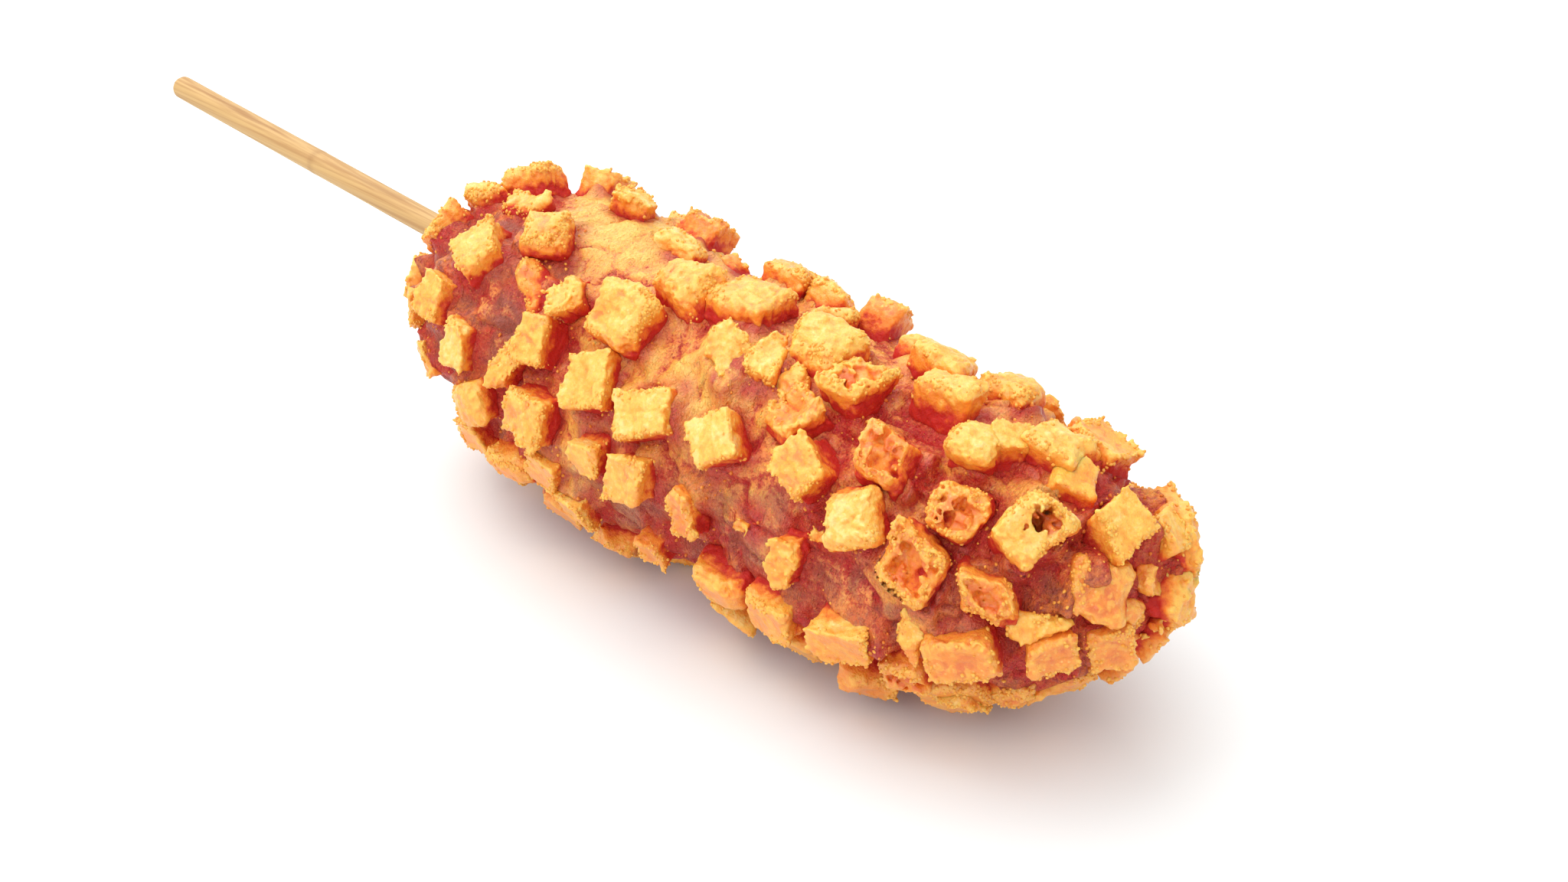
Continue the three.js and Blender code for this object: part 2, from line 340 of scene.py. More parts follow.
# ---------------------------------------------------------------------------- meshes
@dataclass
class Shell:
    """A closed surface while it is worked on: points, faces and one value a point for each name."""

    points: np.ndarray
    faces: list[np.ndarray]
    values: dict[str, np.ndarray] = field(default_factory=dict)

    def largest_island(self) -> Shell:
        """Drops everything that isn't joined to the largest part.

        Returns:
            The largest part.
        """
        label = np.arange(len(self.points))
        while True:
            before = label.copy()
            for face in self.faces:
                lowest = label[face].min(1)
                for corner in face.T:
                    np.minimum.at(label, corner, lowest)
            label = label[label]
            if np.array_equal(label, before):
                break
        kept = label == np.bincount(label).argmax()
        order = np.cumsum(kept) - 1
        faces = [order[face[kept[face[:, 0]]]] for face in self.faces]
        return Shell(self.points[kept], faces, {name: v[kept] for name, v in self.values.items()})

    @staticmethod
    def joined(shells: list[Shell]) -> Shell:
        """Puts several surfaces together as one.

        Args:
            shells: surfaces with the same value names and kinds of face.

        Returns:
            The one surface.
        """
        starts = np.cumsum([0] + [len(shell.points) for shell in shells[:-1]])
        faces = [face + start for shell, start in zip(shells, starts) for face in shell.faces]
        values = {name: np.concatenate([shell.values[name] for shell in shells]) for name in shells[0].values}
        return Shell(np.concatenate([shell.points for shell in shells]), faces, values)

    def make(self, name: str, food: Food) -> bpy.types.Object:
        """Makes the surface an object of the scene.

        Args:
            name: the object's name.
            food: the food's frame, which places it.

        Returns:
            The object, which stands no lower than the ground.
        """
        world = food.to_world(self.points)
        world[:, 2] = np.maximum(world[:, 2], 0)
        mesh = bpy.data.meshes.new(name)
        corners = np.concatenate([face.ravel() for face in self.faces]).astype(np.int32)
        sizes = np.concatenate([np.full(len(face), face.shape[1]) for face in self.faces])
        mesh.vertices.add(len(world))
        mesh.vertices.foreach_set("co", world.astype(np.float32).ravel())
        mesh.loops.add(len(corners))
        mesh.loops.foreach_set("vertex_index", corners)
        mesh.polygons.add(len(sizes))
        mesh.polygons.foreach_set("loop_start", (np.cumsum(sizes) - sizes).astype(np.int32))
        mesh.update(calc_edges=True)
        mesh.shade_smooth()
        # sky: how far each point faces up; the potato finish paints light and shade by it
        normals = np.zeros(world.size, np.float32)
        mesh.vertex_normals.foreach_get("vector", normals)
        for value_name, value in (self.values | {"sky": 0.5 + 0.5 * normals[2::3]}).items():
            attribute = mesh.attributes.new(value_name, "FLOAT", "POINT")
            attribute.data.foreach_set("value", value.astype(np.float32))
        return link(name, mesh)


def dress(piece: bpy.types.Object, material: bpy.types.Material, slot: str, *nodes: str) -> None:
    """Gives a finished piece its material and ties it to the frame.

    Args:
        piece: the finished object.
        material: its finish.
        slot: not used.
        nodes: the frame's nodes that it stands for.
    """
    piece.data.materials.clear()
    piece.data.materials.append(material)
    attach(piece, BODY)
    if nodes:
        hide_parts(*nodes)
    LOG.info("%s: %d faces", piece.name, len(piece.data.polygons))


# ---------------------------------------------------------------------------- materials
class Shader:
    """A material's node tree while it is built."""

    def __init__(self, name: str) -> None:
        """Starts an empty material.

        Args:
            name: the material's name.
        """
        self.material = bpy.data.materials.new(name)
        self.material.use_nodes = True
        self.tree = self.material.node_tree
        self.tree.nodes.clear()
        self.place = self.node("ShaderNodeTexCoord").outputs["Object"]

    def node(self, kind: str, **settings: object) -> bpy.types.Node:
        """Adds a node with its settings.

        Args:
            kind: the node's type.
            settings: the node's own settings by name.

        Returns:
            The node.
        """
        made = self.tree.nodes.new(kind)
        for name, value in settings.items():
            setattr(made, name, value)
        return made

    def feed(self, socket: bpy.types.NodeSocket, value: object) -> None:
        """Links a socket to an output, or gives it a plain value.

        Args:
            socket: the input to be fed.
            value: an output, a colour or a number.
        """
        if isinstance(value, bpy.types.NodeSocket):
            self.tree.links.new(value, socket)
        elif isinstance(value, tuple) and len(value) == 3 and socket.type == "RGBA":
            socket.default_value = (*value, 1.0)
        else:
            socket.default_value = value

    def stretched(self, scale: Triple, turn: Triple = (0, 0, 0)) -> bpy.types.NodeSocket:
        """Turns and scales the object coordinates.

        Args:
            scale: the scale along each axis.
            turn: the turn about each axis.

        Returns:
            The coordinates.
        """
        mapping = self.node("ShaderNodeMapping")
        self.feed(mapping.inputs["Vector"], self.place)
        mapping.inputs["Rotation"].default_value = turn
        mapping.inputs["Scale"].default_value = scale
        return mapping.outputs["Vector"]

    def noise(self, size: float, detail: float = 2.0, place: object = None,
              warp: float = 0.0) -> bpy.types.NodeSocket:
        """Adds a noise texture.

        Args:
            size: the size of its lumps, in metres.
            detail: how many finer layers it has.
            place: where it is read, object coordinates if not given.
            warp: how far it is twisted.

        Returns:
            Its value, from 0 to 1.
        """
        texture = self.node("ShaderNodeTexNoise")
        self.feed(texture.inputs["Vector"], place or self.place)
        texture.inputs["Scale"].default_value = 1 / size
        texture.inputs["Detail"].default_value = detail
        texture.inputs["Distortion"].default_value = warp
        return texture.outputs["Fac"]

    def cells(self, size: float) -> bpy.types.NodeSocket:
        """Scatters points in space, for grains and pores.

        Args:
            size: how far apart the points are, in metres.

        Returns:
            The distance to the nearest one, as a share of the size.
        """
        texture = self.node("ShaderNodeTexVoronoi")
        self.feed(texture.inputs["Vector"], self.place)
        texture.inputs["Scale"].default_value = 1 / size
        return texture.outputs["Distance"]

    def attribute(self, name: str) -> bpy.types.NodeSocket:
        """A value that the mesh carries."""
        return self.node("ShaderNodeAttribute", attribute_name=name).outputs["Fac"]

    def math(self, operation: str, first: object, second: object) -> bpy.types.NodeSocket:
        """Works out one value from two.

        Args:
            operation: what is done.
            first: an output or a number.
            second: another one.

        Returns:
            The value.
        """
        made = self.node("ShaderNodeMath", operation=operation)
        self.feed(made.inputs[0], first)
        self.feed(made.inputs[1], second)
        return made.outputs[0]

    def product(self, first: object, *others: object) -> bpy.types.NodeSocket:
        """Multiplies values.

        Args:
            first: an output or a number.
            others: what it is multiplied by.

        Returns:
            The product.
        """
        for other in others:
            first = self.math("MULTIPLY", first, other)
        return first

    def total(self, first: object, *others: object) -> bpy.types.NodeSocket:
        """Adds values up.

        Args:
            first: an output or a number.
            others: what is added to it.

        Returns:
            The sum.
        """
        for other in others:
            first = self.math("ADD", first, other)
        return first

    def swing(self, value: object, amount: float) -> bpy.types.NodeSocket:
        """Turns a value from 0 to 1 into one that swings about 0."""
        return self.product(self.math("SUBTRACT", value, 0.5), amount)

    def span(self, value: object, low: float, high: float,
             out: tuple[float, float] = (0, 1)) -> bpy.types.NodeSocket:
        """Maps a value by a smooth step.

        Args:
            value: the value.
            low: where the step starts.
            high: where it ends, which may be lower.
            out: what it gives at the two.

        Returns:
            The mapped value.
        """
        made = self.node("ShaderNodeMapRange", interpolation_type="SMOOTHSTEP")
        sockets = {"Value": value, "From Min": low, "From Max": high, "To Min": out[0], "To Max": out[1]}
        for name, given in sockets.items():
            self.feed(made.inputs[name], given)
        return made.outputs["Result"]

    def mix(self, share: object, first: object, second: object) -> bpy.types.NodeSocket:
        """Mixes two colours by a share.

        Args:
            share: how much of the second.
            first: a colour.
            second: another one.

        Returns:
            The mixed colour.
        """
        made = self.node("ShaderNodeMix", data_type="RGBA")
        self.feed(made.inputs[0], share)
        self.feed(made.inputs[6], first)
        self.feed(made.inputs[7], second)
        return made.outputs[2]

    def layer(self, under: object, over: object, *shares: object) -> bpy.types.NodeSocket:
        """Lays one colour over another, by the product of the shares."""
        return self.mix(self.product(*shares), under, over)

    def ramp(self, value: object, stops: list[tuple[float, Colour]]) -> bpy.types.NodeSocket:
        """Turns a value into a colour through eased stops.

        Args:
            value: the value.
            stops: places from 0 to 1 and their colours.

        Returns:
            The colour.
        """
        made = self.node("ShaderNodeValToRGB")
        made.color_ramp.interpolation = "EASE"
        elements = made.color_ramp.elements
        while len(elements) < len(stops):
            elements.new(0.5)
        for element, (place, colour) in zip(elements, stops):
            element.position = place
            element.color = (*colour, 1.0)
        self.feed(made.inputs["Fac"], value)
        return made.outputs["Color"]

    def bump(self, height: object, depth: float, strength: float = 1.0,
             under: object = None) -> bpy.types.NodeSocket:
        """Turns a height into a surface slope.

        Args:
            height: a value from 0 to 1.
            depth: what 1 stands for, in metres.
            strength: share of the effect.
            under: another slope below it.

        Returns:
            The slope.
        """
        made = self.node("ShaderNodeBump")
        made.inputs["Distance"].default_value = depth
        made.inputs["Strength"].default_value = strength
        self.feed(made.inputs["Height"], height)
        if under is not None:
            self.feed(made.inputs["Normal"], under)
        return made.outputs["Normal"]

    def surface(self, **inputs: object) -> bpy.types.Material:
        """Ends the tree in a principled shader.

        Args:
            inputs: its sockets by name, with _ for a space.

        Returns:
            The finished material.
        """
        shader = self.node("ShaderNodeBsdfPrincipled")
        for name, value in inputs.items():
            self.feed(shader.inputs[name.replace("_", " ")], value)
        output = self.node("ShaderNodeOutputMaterial")
        self.tree.links.new(shader.outputs[0], output.inputs["Surface"])
        return self.material


@dataclass(frozen=True)
class PotatoFinish:
    """Fried potato: crisp gold faces, pale worn rims, and sides stained by the batter, with painted shade
    deepening their red on the walls that face away from the light, at the walls' base and in the pits.
    """

    name: str
    gold: Colour = (0.93, 0.41, 0.045)
    pale: Colour = (0.94, 0.53, 0.09)
    cream: Colour = (0.94, 0.65, 0.22)
    brown: Colour = (0.87, 0.27, 0.04)
    amber: Colour = (0.89, 0.30, 0.03)
    soaked: Colour = (0.72, 0.14, 0.03)
    # the batter's stained colour on the walls, deepened by painted shade on those that face away from the
    # light
    stain_and_shade: Colour = (0.76, 0.15, 0.03)
    # painted shade: deep red at the base of the walls, where they meet the batter
    deep: Colour = (0.55, 0.03, 0.022)
    pith: Colour = (0.76, 0.17, 0.025)
    # charred, and painted shade, at the bottom of a pit
    burnt_and_shaded: Colour = (0.36, 0.05, 0.008)
    grain: float = 0.06 * MM

    def face(self, shader: Shader, patches: object, blush: object, high: object,
             grains: object) -> bpy.types.NodeSocket:
        """Colours the outer faces.

        Args:
            shader: the material.
            patches: broad noise.
            blush: finer noise.
            high: how high the skin's own unevenness is, about 0.
            grains: where pale grains lie.

        Returns:
            Brown to cream by height, with soaked spots, blisters, grains and worn rims; paler where the face
            looks up and more amber where it looks down, painted light and shade, and darker in the skin's
            folds, painted shade.
        """
        tone, sky = shader.attribute("tone"), shader.attribute("sky")
        # painted light and shade: faces that look up are paler, and through high the skin's folds are darker
        shade = shader.total(
            shader.product(patches, 0.7), -0.07, shader.product(tone, 0.4), shader.product(high, 0.26),
            shader.span(sky, 0.3, 0.95, (-0.14, 0.04)))
        face = shader.ramp(shade, [
            (0.30, self.brown), (0.44, self.gold), (0.60, self.pale), (0.78, self.cream)])
        sheer = shader.span(tone, 0.3, -0.1)
        blisters = shader.span(shader.noise(1.3 * MM, 5.0, warp=0.2), 0.5, 0.62)
        worn, lower = shader.span(blush, 0.25, 0.6), shader.span(sky, 0.7, 0.3)
        face = shader.layer(face, self.brown, shader.span(blush, 0.5, 0.7), 0.3)
        face = shader.layer(face, self.soaked, shader.span(patches, 0.56, 0.42), sheer, 0.75)
        face = shader.layer(face, self.pale, blisters, sheer, 0.6)
        face = shader.layer(face, self.cream, grains, 0.6)
        face = shader.layer(face, self.pale, shader.attribute("rim"), worn, 0.8)
        # painted shade: faces that look down turn amber
        return shader.layer(face, self.amber, lower, shader.span(blush, 0.2, 0.6), 0.6)

    def material(self) -> bpy.types.Material:
        """Builds the finish.

        Returns:
            The material.
        """
        shader = Shader(self.name)
        patches = shader.noise(3.2 * MM, 3.0, warp=0.6)
        blush = shader.noise(1.1 * MM, 3.0)
        high = shader.total(
            shader.swing(shader.attribute("high"), 1.0), shader.swing(shader.noise(0.5 * MM, 3.0), 1.1))
        grains = shader.product(shader.span(shader.cells(0.9 * MM), 0.3, 0.1), shader.span(patches, 0.4, 0.6))
        face = self.face(shader, patches, blush, high, grains)
        # The walls: the deep red at their base is painted crevice shade, and rise is lowered on those that
        # face away from the light, painted shade
        rise = shader.total(
            shader.attribute("rise"), shader.swing(blush, 0.5), shader.product(high, 0.25))
        side = shader.mix(shader.span(rise, 0.22, 0.50), self.stain_and_shade, self.amber)
        side = shader.mix(shader.span(rise, 0.04, 0.35), self.deep, side)
        colour = shader.mix(shader.span(rise, 0.38, 0.76), side, face)
        cavity = shader.attribute("cavity")
        colour = shader.mix(shader.span(cavity, 0.1, 0.6), colour, shader.mix(grains, self.pith, self.gold))
        # the bottom of a pit is painted dark: charred and painted shade
        colour = shader.mix(shader.span(cavity, 0.7, 1.0), colour, self.burnt_and_shaded)
        slope = shader.bump(shader.cells(0.75 * MM), 2.0 * self.grain)
        slope = shader.bump(shader.noise(0.28 * MM, 3.0), 2.6 * self.grain, under=slope)
        return shader.surface(
            Base_Color=colour, Roughness=shader.span(patches, 0.3, 0.7, (0.36, 0.58)), Normal=slope,
            Specular_IOR_Level=shader.span(rise, 0.2, 0.6, (0.15, 0.45)), Subsurface_Weight=0.6,
            Subsurface_Radius=(1.0, 0.45, 0.1), Subsurface_Scale=1.15 * MM,
            Coat_Weight=shader.span(rise, 0.4, 0.7, (0.0, 0.38)), Coat_Roughness=0.16)


@dataclass(frozen=True)
class BatterFinish:
    """Fried batter, wet with oil: salmon gold where it swells and faces up, painted light; deep red in its
    creases and at the potato pieces' feet and maroon on its underside and ends, painted shade.
    """

    name: str
    # painted shade: deep red in the creases and at the potato pieces' feet
    painted_crease_shade: Colour = (0.52, 0.022, 0.022)
    red: Colour = (0.61, 0.10, 0.05)
    salmon: Colour = (0.88, 0.28, 0.065)
    honey: Colour = (0.96, 0.45, 0.07)
    straw: Colour = (0.97, 0.59, 0.115)
    # the colour of the ring round the pieces: oil soak, and painted shade in the corner
    ember: Colour = (0.84, 0.15, 0.025)
    # painted shade: maroon on the underside and at the ends
    painted_shade: Colour = (0.35, 0.08, 0.05)

    def material(self) -> bpy.types.Material:
        """Builds the finish.

        Returns:
            The material.
        """
        shader = Shader(self.name)
        blotch = shader.noise(6.0 * MM, 4.0, warp=0.8)
        flecks = shader.noise(0.9 * MM, 4.0, warp=0.4)
        speckle = shader.noise(0.42 * MM, 3.0, warp=0.5)
        drawn = shader.noise(1.0, 3.0, shader.stretched((950.0, 300.0, 300.0)), 1.0)
        painted_shade = shader.attribute("painted_shade")
        share = shader.total(
            shader.product(shader.attribute("relief_and_shade"), 0.8), shader.product(blotch, 0.34),
            shader.swing(flecks, 0.6), shader.swing(speckle, 0.75), shader.swing(drawn, 0.5))
        # the low stops are painted crease shade, the high ones painted light where the batter faces up
        body = shader.ramp(share, [
            (0.16, self.painted_crease_shade), (0.35, self.red), (0.54, self.salmon), (0.76, self.honey),
            (1.0, self.straw)])
        # painted shade: maroon on the underside and ends
        body = shader.layer(body, self.painted_shade, painted_shade, shader.span(blotch, 0.34, 0.58), 0.8)
        # ring round the pieces: oil soak, and painted corner shade
        body = shader.layer(body, self.ember, shader.attribute("soak_and_shade_ring"), shader.span(flecks, 0.35, 0.6), 0.55)
        # painted shade at the potato pieces' feet
        body = shader.layer(body, self.painted_crease_shade, shader.attribute("painted_foot_shade"), shader.span(blotch, 0.22, 0.45), 0.9)
        film = shader.product(shader.attribute("climb"), shader.span(flecks, 0.3, 0.65))
        # the pale film on the pieces' walls is kept mostly off the painted shade
        body = shader.layer(body, self.honey, film, shader.span(painted_shade, 0.1, 0.9, (0.7, 0.2)))
        # painted glints: small pale honey flecks that stand in for oil highlights
        body = shader.layer(body, self.honey, shader.span(shader.noise(0.4 * MM, 2.0), 0.6, 0.75), 0.35)
        slope = shader.bump(shader.cells(1.3 * MM), 0.14 * MM, 0.7)
        slope = shader.bump(shader.noise(0.6 * MM, 4.0, warp=1.2), 0.5 * MM, under=slope)
        slope = shader.bump(flecks, 0.35 * MM, under=slope)
        slope = shader.bump(drawn, 0.7 * MM, under=slope)
        return shader.surface(
            Base_Color=body, Roughness=shader.span(flecks, 0.3, 0.7, (0.30, 0.50)), Normal=slope,
            Specular_IOR_Level=shader.span(share, 0.3, 0.7, (0.25, 0.5)), Subsurface_Weight=0.2,
            Subsurface_Radius=(1.0, 0.3, 0.1), Subsurface_Scale=1.2 * MM,
            Coat_Weight=shader.span(share, 0.3, 0.7, (0.06, 0.24)), Coat_Roughness=0.16)


@dataclass(frozen=True)
class BambooFinish:
    """Split bamboo: long fine fibres, a few darker ones, and a darker ring at the joint."""

    name: str
    pale: Colour = (0.61, 0.38, 0.15)
    fibre: Colour = (0.47, 0.26, 0.10)
    dark: Colour = (0.30, 0.14, 0.05)
    pitch: float = Food.pitch

    def material(self) -> bpy.types.Material:
        """Builds the finish.

        Returns:
            The material.
        """
        shader = Shader(self.name)
        tilt = (0, -self.pitch, 0)
        fine = shader.noise(1.0, 3.0, shader.stretched((5.0, 1500.0, 1500.0), tilt))
        broad = shader.noise(1.0, 2.0, shader.stretched((3.0, 420.0, 420.0), tilt))
        colour = shader.mix(shader.span(fine, 0.35, 0.7), self.pale, self.fibre)
        colour = shader.layer(colour, self.dark, shader.span(broad, 0.56, 0.72), 0.45)
        colour = shader.layer(colour, self.dark, shader.attribute("scar"), 0.3)
        slope = shader.bump(broad, 0.16 * MM)
        slope = shader.bump(fine, 0.08 * MM, under=slope)
        return shader.surface(
            Base_Color=colour, Roughness=shader.span(fine, 0.3, 0.7, (0.5, 0.68)), Normal=slope,
            Specular_IOR_Level=0.35)


@dataclass(frozen=True)
class FloorFinish:
    """A plain pale floor."""

    name: str
    colour: Colour = (0.865, 0.89, 0.885)

    def material(self) -> bpy.types.Material:
        """Builds the finish.

        Returns:
            The material.
        """
        shader = Shader(self.name)
        cloud = shader.noise(0.2, 2.0)
        dimmed = tuple(0.985 * part for part in self.colour)
        return shader.surface(
            Base_Color=shader.mix(cloud, self.colour, dimmed), Roughness=0.7, Specular_IOR_Level=0.2)


# ---------------------------------------------------------------------------- potato pieces
class Kind(Enum):
    """How a potato piece has fried."""

    BLOCK = "block"
    PUFFED = "puffed"
    HOLLOW = "hollow"
    CHIP = "chip"
    ROUGH = "rough"
    CRUMBLY = "crumbly"


@dataclass(frozen=True)
class Form:
    """How a kind of potato piece is shaped, in millimetres.

    Attributes:
        rounding: radius of its edges.
        dish: how far the top sinks between its rims; less than 0 swells it.
        waist: how far the walls draw in below the rims.
        lumps: height of the broad unevenness.
        grain: height of the fine unevenness.
        grain_size: how far apart the grains are.
        ragged: how far the rims fray.
        bend: how far the faces bend.
        breaks: how many corners have broken off.
        pit: width of the pit in the top, as a share of the piece.
        tone: how pale it is, from 0 to 1.
    """

    rounding: float
    dish: float
    waist: float
    lumps: float
    grain: float
    grain_size: float
    ragged: float
    bend: float
    breaks: int
    pit: float
    tone: float


FORMS: dict[Kind, Form] = {
    Kind.BLOCK: Form(0.5, 0.25, 0.5, 0.22, 0.18, 1.1, 0.45, 0.5, 1, 0.0, 0.52),
    Kind.PUFFED: Form(1.5, -0.3, 0.1, 0.40, 0.30, 1.5, 0.35, 0.8, 1, 0.0, 0.52),
    Kind.HOLLOW: Form(1.4, 0.0, 0.2, 0.45, 0.32, 1.2, 0.50, 0.7, 0, 0.37, 0.55),
    Kind.CHIP: Form(0.5, 0.3, 0.5, 0.50, 0.36, 1.1, 0.70, 1.2, 3, 0.0, 0.6),
    Kind.ROUGH: Form(1.9, -0.3, -0.1, 0.35, 0.36, 0.9, 0.30, 0.9, 0, 0.0, 0.7),
    Kind.CRUMBLY: Form(1.4, -0.1, 0.0, 0.80, 0.70, 1.4, 0.60, 1.4, 2, 0.0, 0.5),
}


@dataclass(frozen=True)
class Bit:
    """One potato piece, in millimetres. Its own Z points out of the food.

    Attributes:
        kind: how it has fried.
        place: a 4x4 matrix from its own frame to the food's.
        length, width: its size across.
        proud: how far it stands out of the batter.
        seed: which piece it is, for its own shape.
        node: the frame's node that it stands for, if any.
        paleness: how much paler it is than most, less than 0 if it is more amber.
    """

    kind: Kind
    place: np.ndarray
    length: float
    width: float
    proud: float
    seed: int
    node: str = ""
    paleness: float = 0.0

    SUNK = 2.0
    FACING = 0.8
    ALIKE = 0.9995
    TURN_STEP = 2.5
    AMBER = frozenset({14, 27, 30, 31, 35, 42, 47, 48, 49, 50, 51, 54, 57, 58})  # see-through, with pale rims
    CREAM = frozenset({8, 17, 22, 24, 32, 36, 43, 46, 53})  # the palest ones
    REFIT = {53: (-33.0, 0.74, 1.06)}  # turn, length and width of one that fills its solid loosely
    PITS = {53: (0.16, 0.3, 0.88)}  # place in the top and size of a pit that is off the middle

    @property
    def amber(self) -> bool:
        """Whether it is one of the see-through, oil-soaked pieces."""
        return self.paleness < -0.5

    @classmethod
    def facing(cls, areas: np.ndarray, guess: np.ndarray) -> np.ndarray:
        """Finds the way that a piece's flat top faces.

        Args:
            areas: its triangles' areas, as vectors along their normals.
            guess: about which way is out of the food.

        Returns:
            The way, of length 1.
        """
        sizes = np.linalg.norm(areas, axis=1)
        likely = areas[(areas @ guess) > cls.FACING * np.maximum(sizes, 1e-9)]
        reach = np.linalg.norm(likely, axis=1)
        alike = (likely @ likely.T) > cls.ALIKE * np.outer(reach, reach)
        flat = likely[alike[(alike * reach).sum(1).argmax()]].sum(0)
        return flat / np.linalg.norm(flat)

    @classmethod
    def fitted(cls, points: np.ndarray, forward: np.ndarray,
               side: np.ndarray) -> tuple[np.ndarray, np.ndarray]:
        """Turns a rectangle round a piece until it is the smallest.

        Args:
            points: the piece's points.
            forward: one direction across its top.
            side: the other one.

        Returns:
            The rectangle's two directions, and its lowest and highest reach along each.
        """
        best = None
        for turn in np.radians(np.arange(-45, 45, cls.TURN_STEP)):
            sine, cosine = math.sin(turn), math.cos(turn)
            axes = np.array([cosine * forward + sine * side, cosine * side - sine * forward])
            spans = np.array([[(points @ axis).min(), (points @ axis).max()] for axis in axes])
            area = (spans[0, 1] - spans[0, 0]) * (spans[1, 1] - spans[1, 0])
            if best is None or area < best[0]:
                best = (area, axes, spans)
        return best[1], best[2]

    @classmethod
    def from_node(cls, name: str, node: bpy.types.Object, food: Food) -> Bit:
        """Reads a piece off its solid in the frame.

        Args:
            name: the node's name, which ends in its kind and number.
            node: the node's object.
            food: the food's frame.

        Returns:
            The piece.
        """
        mesh = node.data
        mesh.calc_loop_triangles()
        points = food.from_world(read_points(mesh))
        corners = np.zeros(len(mesh.loop_triangles) * 3, np.int32)
        mesh.loop_triangles.foreach_get("vertices", corners)
        a, b, c = (points[corners.reshape(-1, 3)[:, k]] for k in range(3))
        centre = (points.min(0) + points.max(0)) / 2
        y, z = food.middle(np.array([centre[0]]))
        around = math.atan2(centre[2] - z[0], centre[1] - y[0])
        guess = food.seat(float(np.clip(centre[0], 2, food.length - 2)), around, 0.0)
        out = cls.facing(np.cross(b - a, c - a) / 2, guess[:3, 2])
        forward = guess[:3, 0] - out * (guess[:3, 0] @ out)
        forward /= np.linalg.norm(forward)
        axes, spans = cls.fitted(points, forward, np.cross(out, forward))
        length, width = spans[:, 1] - spans[:, 0]
        middles = (spans[:, 0] + spans[:, 1]) / 2
        heights = points @ out
        proud = heights.max() - heights.min() - cls.SUNK
        place = np.eye(4)
        place[:3, 0], place[:3, 1], place[:3, 2] = axes[0], axes[1], out
        place[:3, 3] = middles[0] * axes[0] + middles[1] * axes[1] + (heights.max() - proud) * out
        kind, number = name.split("_")[1], int(name.split("_")[2])
        turn, longer, wider = cls.REFIT.get(number, (0.0, 1.0, 1.0))
        cosine, sine = math.cos(math.radians(turn)), math.sin(math.radians(turn))
        place[:3, :2] = place[:3, :2] @ np.array([[cosine, -sine], [sine, cosine]])
        paleness = 0.3 * (number in cls.CREAM) - 0.75 * (number in cls.AMBER)
        return cls(Kind(kind), place, length * longer, width * wider, proud, number, name, paleness)

    @classmethod
    def at(cls, food: Food, kind: Kind, along: float, around: float, size: Triple, turn: float, seed: int,
           paleness: float = 0.0) -> Bit:
        """Places a piece at a given place.

        Args:
            food: the food's frame.
            kind: how it has fried.
            along: its place along the food.
            around: its angle round the food, in degrees.
            size: its length, width and how proud it stands.
            turn: its turn, in degrees.
            seed: which piece it is.
            paleness: how much paler it is than most, less than 0 if it is more amber.

        Returns:
            The piece.
        """
        place = food.seat(along, math.radians(around), math.radians(turn))
        return cls(kind, place, *size, seed, paleness=paleness)


